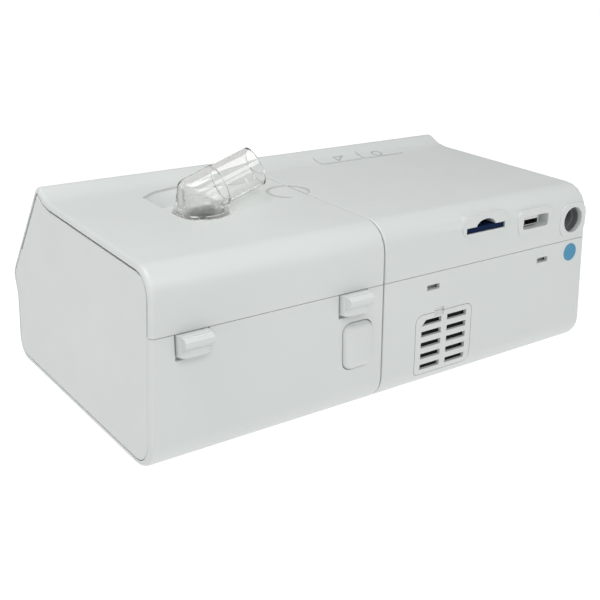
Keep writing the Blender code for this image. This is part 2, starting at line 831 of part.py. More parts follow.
# Recess in the lid for the outlet


def recess_outline(grow, share=1.0):
    """Plan points round the elbow's axis, moved outwards by a distance, or drawn in by a share."""
    points = []
    for along, across in RECESS_SHARES:
        point = Vector((along * RECESS_LENGTH, across * RECESS_WIDTH)) * share
        points.append(point + point.normalized() * grow)
    return points


def recess_floor(point, grow):
    """Height of the recess's floor. It climbs towards the far end of the channel."""
    flat = RECESS_FLAT_SHARE / 2
    climb = max(0.0, -point.x / RECESS_LENGTH - flat)
    return RECESS_FLOOR_Z - grow + RECESS_END_RISE * climb * climb


def make_recess(name, grow):
    """The recess as a cutter or, grown by a wall, as the body that carries it under the lid."""
    top_z = BASE_Z + RIDGE_HEIGHT + OVERRUN
    flat = recess_outline(0, RECESS_FLAT_SHARE)
    floor = recess_outline(grow, RECESS_DRAFT_SHARE)
    mouth = recess_outline(grow)
    rings = (
        [(point.x, point.y, RECESS_FLOOR_Z - grow) for point in flat],
        [(point.x, point.y, recess_floor(point, grow)) for point in floor],
        [(point.x, point.y, SKIN_Z) for point in mouth],
        [(point.x, point.y, top_z) for point in mouth],
    )
    return make_loft(name, rings, None, upright_frame(ELBOW_X, ELBOW_Y))


# Clear outlet elbow


def elbow_frame():
    """The knee, the tilted tube's direction, and the sides across and over it."""
    level = Vector((math.cos(ELBOW_TURN), math.sin(ELBOW_TURN), 0))
    up = Vector((0, 0, 1))
    run = level * math.cos(ELBOW_RISE) + up * math.sin(ELBOW_RISE)
    knee = Vector((ELBOW_X, ELBOW_Y, RECESS_FLOOR_Z + ELBOW_KNEE_RISE))
    return knee, run, up.cross(level), up * math.cos(ELBOW_RISE) - level * math.sin(ELBOW_RISE)


def knee_rings(foot_radius, foot_z, knee_radius, tube_rings):
    """Rings up the collar, on the mitre where it turns, and along the tilted tube."""
    knee, run, across, over = elbow_frame()
    up = Vector((0, 0, 1))
    outward = up.cross(across)
    mitre = (run + up).normalized()
    foot, bend = [], []
    along = [[] for _ in tube_rings]
    for step in range(FINE_SIDES):
        angle = math.tau * step / FINE_SIDES
        side, height = math.cos(angle), math.sin(angle)
        spoke = (across * side + outward * height) * foot_radius
        foot.append(Vector((ELBOW_X, ELBOW_Y, foot_z)) + spoke)
        spoke = (across * side + over * height) * knee_radius
        bend.append(knee + spoke - run * (spoke.dot(mitre) / run.dot(mitre)))
        for ring, (distance, radius) in zip(along, tube_rings):
            spoke = (across * side + over * height) * radius
            ring.append(knee + run * distance + spoke)
    return [foot, bend, *along]


def make_elbow():
    axis = Vector((ELBOW_X, ELBOW_Y, 0))
    ring_top = BASE_RING_Z + BASE_RING_THICKNESS
    spigot_z = BASE_RING_Z - SPIGOT_LENGTH
    step = ELBOW_REACH * TUBE_STEP_SHARE
    outer = ((step, TUBE_RADIUS + TUBE_STEP), (step + TUBE_STEP, TUBE_RADIUS))
    outer += ((ELBOW_REACH, TUBE_RADIUS),)
    knee_radius = TUBE_RADIUS + TUBE_STEP
    foot_z = ring_top - BASE_RING_THICKNESS / 2
    rings = knee_rings(COLLAR_RADIUS, foot_z, knee_radius, outer)
    elbow = make_loft("outlet_elbow", rings, "clear_plastic")
    combine(elbow, make_elbow_foot(axis, BASE_RING_Z, ring_top, spigot_z), "UNION")
    inner = ((step, TUBE_BORE_RADIUS), (ELBOW_REACH + OVERRUN, TUBE_BORE_RADIUS))
    bore = knee_rings(SPIGOT_BORE_RADIUS, spigot_z - OVERRUN, TUBE_BORE_RADIUS, inner)
    combine(elbow, make_loft("elbow_bore", bore))
    return combine_all(elbow, make_bayonet_notches(axis, BASE_RING_Z, ring_top))


def make_elbow_foot(axis, ring_z, ring_top, spigot_z):
    """The ring that rests on the port, and the spigot with its seal's groove."""
    groove_z = ring_z - SEAL_DROP
    groove = SPIGOT_RADIUS - SEAL_GROOVE_DEPTH
    half_seal = SEAL_HEIGHT / 2 + GAP
    profile = (
        (0, ring_top),
        (BASE_RING_RADIUS, ring_top),
        (BASE_RING_RADIUS, ring_z),
        (SPIGOT_RADIUS, ring_z),
        (SPIGOT_RADIUS, groove_z + half_seal),
        (groove, groove_z + half_seal),
        (groove, groove_z - half_seal),
        (SPIGOT_RADIUS, groove_z - half_seal),
        (SPIGOT_RADIUS, spigot_z),
        (0, spigot_z),
    )
    return make_turned("elbow_foot", profile, axis, None, FINE_SIDES)


def make_bayonet_notches(axis, low_z, high_z):
    """Two pairs of square notches in the ring's edge."""
    notches = []
    inner = BASE_RING_RADIUS - BAYONET_NOTCH_DEPTH
    outer = BASE_RING_RADIUS + OVERRUN
    half = BAYONET_NOTCH_WIDTH / 2
    outline = ((inner, -half), (outer, -half), (outer, half), (inner, half))
    for pair in (0, 1):
        for turn in BAYONET_TURNS:
            matrix = Matrix.Translation(axis) @ Matrix.Rotation(turn + pair * math.pi, 4, "Z")
            name = f"bayonet_notch_{len(notches) + 1}"
            notches.append(make_prism(name, outline, matrix, low_z - OVERRUN, high_z + OVERRUN))
    return notches


def make_elbow_seal():
    middle = BASE_RING_Z - SEAL_DROP
    inner = SPIGOT_RADIUS - SEAL_GROOVE_DEPTH + GAP
    outer = PORT_BORE_RADIUS - GAP
    half = SEAL_HEIGHT / 2
    profile = ((inner, middle + half), (outer, middle + half / 2), (outer, middle - half / 2))
    profile += ((inner, middle - half),)
    return make_turned("elbow_seal", profile, (ELBOW_X, ELBOW_Y, 0), "rubber")


def make_outlet_port():
    """White collar in the lid that the elbow turns in, with its duct down to the tank."""
    flange_top = BASE_RING_Z - GAP
    flange_low = flange_top - PORT_FLANGE_THICKNESS
    profile = (
        (PORT_BORE_RADIUS, flange_top),
        (PORT_FLANGE_RADIUS, flange_top),
        (PORT_FLANGE_RADIUS, flange_low),
        (PORT_OUTER_RADIUS, flange_low),
        (PORT_OUTER_RADIUS, port_bottom_z()),
        (PORT_BORE_RADIUS, port_bottom_z()),
    )
    return make_turned("outlet_port", profile, (ELBOW_X, ELBOW_Y, 0), "white_plastic")


def cut_outlet_hole(lid):
    combine(lid, make_recess("recess", 0.0))
    low = (ELBOW_X, ELBOW_Y, RECESS_FLOOR_Z - RECESS_WALL - OVERRUN)
    high = (ELBOW_X, ELBOW_Y, BASE_Z + RIDGE_HEIGHT)
    radius = PORT_OUTER_RADIUS + GAP
    combine(lid, make_cylinder("outlet_hole", radius, low, high))
    seat = (ELBOW_X, ELBOW_Y, BASE_RING_Z - PORT_FLANGE_THICKNESS - 2 * GAP)
    combine(lid, make_cylinder("flange_seat", PORT_FLANGE_RADIUS + GAP, seat, high))


# Hinges of the lid


def hinge_axis_y():
    """Just outside the sloping front at the parting, so that the closed lid only rises."""
    return front_y_at(HINGE_Z) - HINGE_STANDOFF / math.sin(FRONT_TILT)


def make_hinges(lid, base):
    """Two hinges, each a lid knuckle between two base knuckles on a steel pin."""
    y = hinge_axis_y()
    pitch = KNUCKLE_LENGTH + GAP
    middles = (HUMIDIFIER_SEAM_X + HINGE_INSET, HALF_LENGTH - HINGE_INSET)
    for index, middle in enumerate(middles, 1):
        for place, owner, other in ((-1, base, lid), (0, lid, base), (1, base, lid)):
            name = f"knuckle_{index}_{place + 2}"
            low = (middle + place * pitch - KNUCKLE_LENGTH / 2, y, HINGE_Z)
            high = (middle + place * pitch + KNUCKLE_LENGTH / 2, y, HINGE_Z)
            combine(owner, make_cylinder(name, KNUCKLE_RADIUS, low, high, sides=20), "UNION")
            low = (low[0] - GAP, y, HINGE_Z)
            high = (high[0] + GAP, y, HINGE_Z)
            radius = KNUCKLE_RADIUS + GAP
            combine(other, make_cylinder(name + "_room", radius, low, high, sides=20))
        reach = pitch + KNUCKLE_LENGTH / 2
        start, end = (middle - reach, y, HINGE_Z), (middle + reach, y, HINGE_Z)
        pin = f"hinge_pin_{index}"
        make_cylinder(pin, HINGE_PIN_RADIUS, start, end, "steel", sides=16)
        start = (start[0] - OVERRUN, y, HINGE_Z)
        end = (end[0] + OVERRUN, y, HINGE_Z)
        bore = make_cylinder(pin + "_bore", HINGE_PIN_RADIUS + GAP, start, end, sides=16)
        combine_all(lid, [bore])
        combine_all(base, [bore])


# Water tank, cover, seal and heater


def heater_top_z():
    return BASE_Z + RIM + GAP + INSULATOR_THICKNESS + GAP + HEATER_THICKNESS


def tank_bottom_z():
    return heater_top_z() + GAP


def tank_top_z():
    return PARTING_Z - TANK_TOP_DROP


def cover_top_z():
    return tank_top_z() + GAP + COVER_THICKNESS


def port_bottom_z():
    return cover_top_z() + COVER_NECK_HEIGHT + 2 * GAP + TANK_SEAL_THICKNESS


def tank_frame():
    """The tank's width between the seam's wall and the end panel, and its place."""
    low_x = HUMIDIFIER_SEAM_X + WALL + TANK_SIDE_GAP
    high_x = drafted_end(1, PANEL_WALL + TANK_SIDE_GAP)(tank_top_z())
    middle_y = REAR_Y - RIM - TANK_REAR_GAP - TANK_DEPTH / 2
    return high_x - low_x, upright_frame((low_x + high_x) / 2, middle_y)


def tank_outline(grow):
    width, _ = tank_frame()
    return rounded_rectangle(width + 2 * grow, TANK_DEPTH + 2 * grow, TANK_CORNER + grow)


def make_tank():
    _, frame = tank_frame()
    bottom, top = tank_bottom_z(), tank_top_z()
    body = tank_outline(-TANK_FLANGE)
    tank = make_prism("water_tank", body, frame, bottom, top, "clear_plastic")
    flange = make_prism("tank_flange", tank_outline(0), frame, top - TANK_WALL, top)
    combine(tank, flange, "UNION")
    inside = tank_outline(-TANK_FLANGE - TANK_WALL)
    hollow = make_prism("tank_hollow", inside, frame, bottom + TANK_WALL, top + OVERRUN)
    combine(tank, hollow)
    start = (HUMIDIFIER_SEAM_X, BLOWER_Y, DUCT_Z)
    end = (HUMIDIFIER_SEAM_X + WALL + TANK_SIDE_GAP + TANK_FLANGE + TANK_WALL + OVERRUN,)
    end += (BLOWER_Y, DUCT_Z)
    combine(tank, make_cylinder("tank_inlet", DUCT_RADIUS + HOLE_GAP, start, end))
    return tank


def make_tank_cover():
    _, frame = tank_frame()
    low, high = tank_top_z() + GAP, cover_top_z()
    cover = make_prism("tank_cover", tank_outline(0), frame, low, high, "clear_plastic")
    neck_top = high + COVER_NECK_HEIGHT
    neck = make_cylinder(
        "cover_neck",
        COVER_NECK_RADIUS,
        (ELBOW_X, ELBOW_Y, low + COVER_THICKNESS / 2),
        (ELBOW_X, ELBOW_Y, neck_top),
    )
    combine(cover, neck, "UNION")
    hole = make_cylinder(
        "cover_hole",
        COVER_HOLE_RADIUS,
        (ELBOW_X, ELBOW_Y, low - OVERRUN),
        (ELBOW_X, ELBOW_Y, neck_top + OVERRUN),
    )
    return combine(cover, hole)


def make_tank_seal():
    low = cover_top_z() + COVER_NECK_HEIGHT + GAP
    high = low + TANK_SEAL_THICKNESS
    profile = ((COVER_HOLE_RADIUS, high), (COVER_NECK_RADIUS, high))
    profile += ((COVER_NECK_RADIUS, low), (COVER_HOLE_RADIUS, low))
    return make_turned("tank_seal", profile, (ELBOW_X, ELBOW_Y, 0), "rubber")


def make_heater():
    _, frame = tank_frame()
    place = (HEATER_X, frame.translation.y, 0)
    low = BASE_Z + RIM + GAP
    high = low + INSULATOR_THICKNESS
    outer = HEATER_RADIUS + HEATER_LIP
    inner = HEATER_RADIUS - 2 * HEATER_LIP
    ring = ((inner, high), (outer, high), (outer, low), (inner, low))
    make_turned("heater_insulator", ring, place, "grey_plastic")
    top = heater_top_z()
    bottom = top - HEATER_THICKNESS
    chamfer = HEATER_THICKNESS / 3
    disc = ((0, top), (HEATER_RADIUS - chamfer, top), (HEATER_RADIUS, top - chamfer))
    disc += ((HEATER_RADIUS, bottom), (0, bottom))
    make_turned("heater_plate", disc, place, "aluminium", FINE_SIDES)


# Latches and release button


def latch_profile():
    """Side outline of the finger lip, as reach from the rear face and height from the foot."""
    lip_high = LATCH_HEIGHT - LATCH_LIP_TOP_DROP
    return (
        (-LATCH_ROOT, LATCH_HEIGHT),
        (LATCH_BLOCK_REACH / 3, LATCH_HEIGHT),
        (LATCH_REACH - LATCH_LIP_THICKNESS / 3, lip_high + LATCH_LIP_THICKNESS / 3),
        (LATCH_REACH, lip_high),
        (LATCH_REACH, lip_high - LATCH_LIP_THICKNESS / 2),
        (LATCH_REACH - LATCH_LIP_THICKNESS / 2, lip_high - LATCH_LIP_THICKNESS),
        (LATCH_BLOCK_REACH / 2, LATCH_HEIGHT - LATCH_LIP_UNDERSIDE),
        (-LATCH_ROOT, LATCH_HEIGHT - LATCH_LIP_UNDERSIDE),
    )


def make_latch(name, x):
    foot_z = BASE_Z + LATCH_FOOT_HEIGHT
    reach = LATCH_BLOCK_REACH + LATCH_ROOT
    outline = rounded_rectangle(LATCH_WIDTH, 2 * reach, LATCH_CORNER, 3)
    plan = upright_frame(x, REAR_Y - LATCH_ROOT)
    latch = make_prism(name, outline, plan, foot_z, foot_z + LATCH_HEIGHT, "white_plastic")
    turn = Matrix(((0, 0, 1), (1, 0, 0), (0, 1, 0))).to_4x4()
    side = Matrix.Translation((x, REAR_Y, foot_z)) @ turn
    half = LATCH_LIP_WIDTH / 2
    lip = make_prism(name + "_lip", latch_profile(), side, -half, half)
    combine(latch, lip, "UNION")
    low = (x - LATCH_WIDTH, REAR_Y - LATCH_ROOT - reach - OVERRUN, foot_z - OVERRUN)
    high = (x + LATCH_WIDTH, REAR_Y - LATCH_ROOT, foot_z + LATCH_HEIGHT + OVERRUN)
    return combine(latch, make_box(name + "_back", low, high))


def make_latches(base):
    for x, name in ((LATCH_OUTER_X, "latch_outer"), (LATCH_INNER_X, "latch_inner")):
        make_latch(name, x)
        half = LATCH_WIDTH / 2 + LATCH_SIDE_GAP
        low = (x - half, REAR_Y - LATCH_ROOT - GAP, BASE_Z + LATCH_POCKET_HEIGHT)
        high = (x + half, REAR_Y + OVERRUN, PARTING_Z + OVERRUN)
        combine(base, make_box(name + "_pocket", low, high))


def release_ring(inset, height):
    outline = rounded_rectangle(
        RELEASE_WIDTH - 2 * inset, RELEASE_HEIGHT - 2 * inset, RELEASE_CORNER - inset
    )
    return [(x, y, height) for x, y in outline]


def make_release_button(base):
    """A pad with a full round edge, which comes straight out of the rear wall."""
    frame = rear_frame(RELEASE_X, RELEASE_Z_HEIGHT)
    rings = [release_ring(0, -RELEASE_DEPTH)]
    for step in range(4):
        angle = math.pi / 2 * step / 3
        inset = RELEASE_EDGE * (1 - math.cos(angle))
        height = RELEASE_PROUD - RELEASE_EDGE * (1 - math.sin(angle))
        rings.append(release_ring(inset, height))
    make_loft("release_button", rings, "white_plastic", frame)
    border = 2 * BUTTON_GAP
    hole = rounded_rectangle(
        RELEASE_WIDTH + border, RELEASE_HEIGHT + border, RELEASE_CORNER + BUTTON_GAP
    )
    combine(base, make_prism("release_hole", hole, frame, -RIM - OVERRUN, OVERRUN))


# Top keys


def make_keys(upper):
    for side, name in ((1, "ramp_key"), (-1, "mode_key")):
        plan = upright_frame(KEY_MID_X + side * KEY_PITCH / 2, REAR_Y - KEY_DEPTH)
        outline = rounded_rectangle(KEY_WIDTH, KEY_LENGTH, KEY_CORNER, 2)
        top = BASE_Z + RIDGE_HEIGHT + OVERRUN
        span = (PARTING_Z, top)
        make_skin_panel(name, outline, plan, span, KEY_PROUD, KEY_THICKNESS, "white_plastic")
        border = 2 * BUTTON_GAP
        hole = rounded_rectangle(
            KEY_WIDTH + border, KEY_LENGTH + border, KEY_CORNER + BUTTON_GAP, 2
        )
        combine(upper, make_prism(name + "_hole", hole, plan, PARTING_Z + OVERRUN, top))


# Display, knob and water window on the sloping front


def make_window(name, shell, x, width, height, finish):
    """A flush lens in the sloping front, on a ledge round an opening."""
    frame = front_frame(x)
    outline = rounded_rectangle(width, height, WINDOW_CORNER)
    make_prism(name, outline, frame, -WINDOW_THICKNESS, 0, finish)
    border = 2 * GAP
    seat = rounded_rectangle(width + border, height + border, WINDOW_CORNER + GAP)
    depth = WINDOW_THICKNESS + GAP
    combine(shell, make_prism(name + "_seat", seat, frame, -depth, OVERRUN))
    opening = rounded_rectangle(
        width - 2 * WINDOW_LEDGE, height - 2 * WINDOW_LEDGE, WINDOW_CORNER - WINDOW_LEDGE
    )
    combine(shell, make_prism(name + "_opening", opening, frame, -WALL - OVERRUN, OVERRUN))


def make_lcd():
    inset = 2 * (WINDOW_LEDGE + LCD_MARGIN)
    outline = rounded_rectangle(WINDOW_WIDTH - inset, WINDOW_HEIGHT - inset, WINDOW_CORNER / 4, 1)
    top = -WINDOW_THICKNESS - GAP
    frame = front_frame(WINDOW_X)
    make_prism("lcd_module", outline, frame, top - LCD_THICKNESS, top, "grey_plastic")


def make_knob(upper):
    """A fluted cup over the encoder's bush, with a boss on the shaft."""
    frame = front_frame(KNOB_X, -KNOB_SLOPE_DROP)
    low = KNOB_FLOAT
    high = low + KNOB_HEIGHT
    edge = KNOB_RADIUS - KNOB_TOP_RADIUS
    roof = high - KNOB_WALL
    inner = KNOB_RADIUS - KNOB_WALL - KNOB_FLUTE_RADIUS
    bore = ENCODER_SHAFT_RADIUS + GAP
    profile = (
        (0, high),
        (KNOB_TOP_RADIUS, high),
        (KNOB_RADIUS, high - edge),
        (KNOB_RADIUS, low),
        (inner, low),
        (inner, roof),
        (KNOB_BOSS_RADIUS, roof),
        (KNOB_BOSS_RADIUS, low + KNOB_WALL),
        (bore, low + KNOB_WALL),
        (bore, roof),
        (0, roof),
    )
    knob = make_turned("control_knob", profile, (0, 0, 0), "grey_plastic", FINE_SIDES)
    knob.matrix_world = frame
    for index in range(KNOB_FLUTES):
        angle = math.tau * index / KNOB_FLUTES
        spot = Vector((math.cos(angle), math.sin(angle), 0)) * (KNOB_RADIUS + KNOB_FLUTE_RADIUS / 2)
        start = frame @ (spot + Vector((0, 0, low - OVERRUN)))
        end = frame @ (spot + Vector((0, 0, high + OVERRUN)))
        combine(knob, make_cylinder(f"flute_{index}", KNOB_FLUTE_RADIUS, start, end, sides=8))
    make_encoder(frame, roof)
    start = frame @ Vector((0, 0, -WALL - OVERRUN))
    hole_radius = ENCODER_BUSH_RADIUS + GAP
    combine(upper, make_cylinder("knob_hole", hole_radius, start, frame @ Vector((0, 0, OVERRUN))))


def make_encoder(frame, roof):
    top = -WALL - GAP
    side = ENCODER_SIDE
    outline = rounded_rectangle(side, side, side / 10, 1)
    low = top - ENCODER_THICKNESS
    encoder = make_prism("knob_encoder", outline, frame, low, top, "dark_plastic")
    start = frame @ Vector((0, 0, low + ENCODER_THICKNESS / 2))
    bush = make_cylinder(
        "encoder_bush", ENCODER_BUSH_RADIUS, start, frame @ Vector((0, 0, KNOB_FLOAT))
    )
    combine(encoder, bush, "UNION")
    shaft_end = frame @ Vector((0, 0, roof - GAP))
    shaft = make_cylinder("encoder_shaft", ENCODER_SHAFT_RADIUS, start, shaft_end, sides=20)
    combine(encoder, shaft, "UNION")


# Air filter


def cap_middle_height():
    return CAP_BOTTOM_HEIGHT + CAP_HEIGHT / 2


def cap_outline(grow):
    return rounded_rectangle(CAP_WIDTH + 2 * grow, CAP_HEIGHT + 2 * grow, CAP_CORNER + grow)


def filter_depths():
    """Depths from the rear face: the cap's seat, the foam's back, and the well's back."""
    seat = CAP_THICKNESS + CAP_ROOM
    foam_back = seat + FOAM_THICKNESS
    return seat, foam_back, foam_back + GAP + CASING_WALL


def make_filter_well_body():
    frame = rear_frame(CAP_X, cap_middle_height())
    outline = cap_outline(WALL)
    return make_prism("filter_well", outline, frame, -filter_depths()[2], OVERRUN)


def cut_filter_well(lower):
    frame = rear_frame(CAP_X, cap_middle_height())
    seat, foam_back, well_back = filter_depths()
    combine(lower, make_prism("cap_seat", cap_outline(GAP), frame, -seat, OVERRUN))
    pocket = cap_outline(-FILTER_LEDGE)
    combine(lower, make_prism("foam_pocket", pocket, frame, -foam_back - GAP, OVERRUN))
    window = rounded_rectangle(
        CAP_WIDTH - 2 * (FILTER_LEDGE + FILTER_BACK_BORDER),
        CAP_HEIGHT - 2 * (FILTER_LEDGE + FILTER_BACK_BORDER),
        CAP_CORNER / 2,
        2,
    )
    combine(lower, make_prism("air_window", window, frame, -well_back - OVERRUN, OVERRUN))
    combine(lower, make_nail_notch("housing_notch"))


def make_nail_notch(name):
    """A small scoop across the top edge of the cap."""
    notch_z = BASE_Z + CAP_BOTTOM_HEIGHT + CAP_HEIGHT
    out = NAIL_NOTCH_RADIUS - NAIL_NOTCH_DEPTH
    start = (CAP_X + NAIL_NOTCH_OFFSET - NAIL_NOTCH_RADIUS, REAR_Y + out, notch_z)
    end = (CAP_X + NAIL_NOTCH_OFFSET + NAIL_NOTCH_RADIUS, REAR_Y + out, notch_z)
    return make_cylinder(name, NAIL_NOTCH_RADIUS, start, end, sides=20)


def make_filter_foam():
    frame = rear_frame(CAP_X, cap_middle_height())
    seat, foam_back, _ = filter_depths()
    outline = cap_outline(-FILTER_LEDGE - GAP)
    make_prism("filter_foam", outline, frame, -foam_back, -seat + GAP, "foam")


def slot_outline(column, row):
    """Outline of one slot round the cap's middle. The first has a cut corner."""
    middle_x = (SLOT_WIDTH + SLOT_MULLION) / 2 * (1 if column else -1)
    middle_y = CAP_HEIGHT / 2 - SLOT_TOP_MARGIN - row * SLOT_PITCH
    low_x, high_x = middle_x - SLOT_WIDTH / 2, middle_x + SLOT_WIDTH / 2
    low_y, high_y = middle_y - SLOT_HEIGHT / 2, middle_y + SLOT_HEIGHT / 2
    if column == 0 and row == 0:
        cut = SLOT_CUT_CORNER
        return [(low_x, low_y), (high_x, low_y), (high_x, high_y), (low_x + cut, high_y)]
    return [(low_x, low_y), (high_x, low_y), (high_x, high_y), (low_x, high_y)]


def make_filter_cap():
    """The grille follows the rear face and the start of its rounded bottom edge."""
    frame = rear_frame(CAP_X, cap_middle_height())
    span = (GAP - filter_depths()[0], OVERRUN)
    cap = make_skin_panel(
        "filter_cap", cap_outline(0), frame, span, 0.0, CAP_THICKNESS, "white_plastic"
    )
    for row in range(SLOT_ROWS):
        for column in (0, 1):
            outline = slot_outline(column, row)
            name = f"cap_slot_{row}_{column}"
            reach = CAP_THICKNESS * 2
            combine(cap, make_prism(name, outline, frame, -reach, reach))
    return combine(cap, make_nail_notch("cap_notch"))


def cut_hook_slots(lower):
    """Two slots through the rear wall, one by the seam and one by the end."""
    half_x, half_y = HOOK_SLOT_WIDTH / 2, HOOK_SLOT_HEIGHT / 2
    outline = ((-half_x, -half_y), (half_x, -half_y), (half_x, half_y), (-half_x, half_y))
    for index in range(2):
        frame = rear_frame(HOOK_SLOT_FIRST_X - index * HOOK_SLOT_SPACING, HOOK_SLOT_Z_HEIGHT)
        slot = make_prism(f"hook_slot_{index + 1}", outline, frame, -WALL - OVERRUN, OVERRUN)
        combine(lower, slot)


# Ports on the rear top corner


def make_port_boss(upper, name, x, height, width, tall, corner):
    frame = rear_frame(x, height)
    outline = rounded_rectangle(width, tall, corner)
    boss = make_prism(name + "_boss", outline, frame, -PORT_ROOT, PORT_PROUD)
    combine(upper, boss, "UNION")
    return frame


def make_card_slot(upper):
    make_port_boss(
        upper,
        "card",
        CARD_X,
        CARD_Z_HEIGHT + CARD_BOSS_HEIGHT / 5,
        CARD_WIDTH + 2 * CARD_SLOT_BORDER,
        CARD_BOSS_HEIGHT,
        CARD_BOSS_CORNER,
    )
    frame = rear_frame(CARD_X, CARD_Z_HEIGHT)
    half_x, half_y = CARD_WIDTH / 2, CARD_THICKNESS / 2
    slot_x, slot_y = half_x + GAP, half_y + GAP
    outline = ((-slot_x, -slot_y), (slot_x, -slot_y), (slot_x, slot_y), (-slot_x, slot_y))
    combine(upper, make_prism("card_slot", outline, frame, -PORT_ROOT - OVERRUN, OVERRUN))
    card = ((-half_x, -half_y), (half_x, -half_y), (half_x, half_y), (-half_x, half_y))
    face = -CARD_SINK
    make_prism("data_card", card, frame, face - CARD_LENGTH, face, "navy_plastic")
    reach = CARD_THUMB_WIDTH / 2
    arch = [(-reach, 0), (reach, 0)]
    for step in range(CARD_THUMB_STEPS + 1):
        angle = math.pi * step / CARD_THUMB_STEPS
        height = half_y + CARD_THUMB_HEIGHT * math.sin(angle)
        arch.append((reach * math.cos(angle), height))
    combine(upper, make_prism("card_thumb", arch, frame, -PORT_ROOT - OVERRUN, OVERRUN))
    make_card_socket(frame, half_x, half_y)


def make_card_socket(frame, half_x, half_y):
    """A cage round the inner end of the card, behind the housing's corner."""
    front = -PORT_ROOT - GAP
    back = -CARD_SINK - CARD_LENGTH - GAP - SOCKET_WALL
    outer_x = half_x + GAP + SOCKET_WALL
    outer_y = half_y + GAP + SOCKET_WALL
    outline = ((-outer_x, -outer_y), (outer_x, -outer_y), (outer_x, outer_y), (-outer_x, outer_y))
    socket = make_prism("card_socket", outline, frame, back, front, "grey_plastic")
    slot_x, slot_y = half_x + GAP, half_y + GAP
    inner = ((-slot_x, -slot_y), (slot_x, -slot_y), (slot_x, slot_y), (-slot_x, slot_y))
    hollow = make_prism("card_socket_hollow", inner, frame, back + SOCKET_WALL, front + OVERRUN)
    return combine(socket, hollow)


def make_data_port(upper):
    frame = make_port_boss(
        upper,
        "data",
        DATA_PORT_X,
        DATA_PORT_Z_HEIGHT,
        DATA_BOSS_WIDTH,
        DATA_BOSS_HEIGHT,
        DATA_BOSS_CORNER,
    )
    pocket = rounded_rectangle(DATA_POCKET_WIDTH, DATA_POCKET_HEIGHT, DATA_BOSS_CORNER / 3, 2)
    combine(upper, make_prism("data_pocket", pocket, frame, -DATA_POCKET_DEPTH, OVERRUN))
    half_x, half_y = DATA_SHELL_WIDTH / 2, DATA_SHELL_HEIGHT / 2
    hole = rounded_rectangle(DATA_SHELL_WIDTH + 2 * GAP, DATA_SHELL_HEIGHT + 2 * GAP, GAP * 2, 1)
    combine(upper, make_prism("data_hole", hole, frame, -PORT_ROOT - OVERRUN, OVERRUN))
    shell = rounded_rectangle(DATA_SHELL_WIDTH, DATA_SHELL_HEIGHT, GAP, 1)
    face = -DATA_SHELL_REACH
    back = face - DATA_SHELL_LENGTH
    port = make_prism("data_port", shell, frame, back, face, "steel")
    wall = DATA_SHELL_WALL
    low_y, high_y = -half_y + wall, half_y - wall - DATA_TONGUE_THICKNESS
    low_x, high_x = -half_x + wall, half_x - wall
    mouth = ((low_x, low_y), (high_x, low_y), (high_x, high_y), (low_x, high_y))
    combine(port, make_prism("data_mouth", mouth, frame, back + wall, OVERRUN))


def make_power_inlet(upper):
    frame = make_port_boss(
        upper,
        "power",
        POWER_X,
        POWER_Z_HEIGHT,
        POWER_BOSS_WIDTH,
        POWER_BOSS_HEIGHT,
        POWER_BOSS_CORNER,
    )
    out = frame @ Vector((0, 0, OVERRUN))
    inside = frame @ Vector((0, 0, -PORT_ROOT - OVERRUN))
    combine(upper, make_cylinder("power_hole", POWER_HOLE_RADIUS, inside, out, sides=FINE_SIDES))
    face = -POWER_FACE_DEPTH
    back = face - POWER_JACK_LENGTH
    radius = POWER_HOLE_RADIUS - GAP
    start, end = frame @ Vector((0, 0, back)), frame @ Vector((0, 0, face))
    jack = make_cylinder("power_inlet", radius, start, end, "grey_plastic", FINE_SIDES)
    floor = frame @ Vector((0, 0, face - POWER_BORE_DEPTH))
    combine(jack, make_cylinder("power_bore", POWER_BORE_RADIUS, floor, out))
    root = frame @ Vector((0, 0, face - POWER_BORE_DEPTH + GAP))
    pin_end = frame @ Vector((0, 0, face - 2 * GAP))
    make_cylinder("power_pin", POWER_PIN_RADIUS, root, pin_end, "steel", sides=12)


def make_io_board():
    """Board under the card cage and the data port, in front of the power jack."""
    cage_low = CARD_Z_HEIGHT - CARD_THICKNESS / 2 - GAP - SOCKET_WALL
    data_low = DATA_PORT_Z_HEIGHT - DATA_SHELL_HEIGHT / 2
    top = BASE_Z + min(cage_low, data_low) - GAP
    low_x = DATA_PORT_X - DATA_SHELL_WIDTH / 2 - IO_BOARD_MARGIN / 2
    high_x = CARD_X + CARD_WIDTH / 2 + IO_BOARD_MARGIN
    front = REAR_Y - PORT_ROOT - GAP
    low = (low_x, front - IO_BOARD_DEPTH, top - BOARD_THICKNESS)
    make_box("io_board", low, (high_x, front, top), "circuit_green")


# Air path and electronics inside


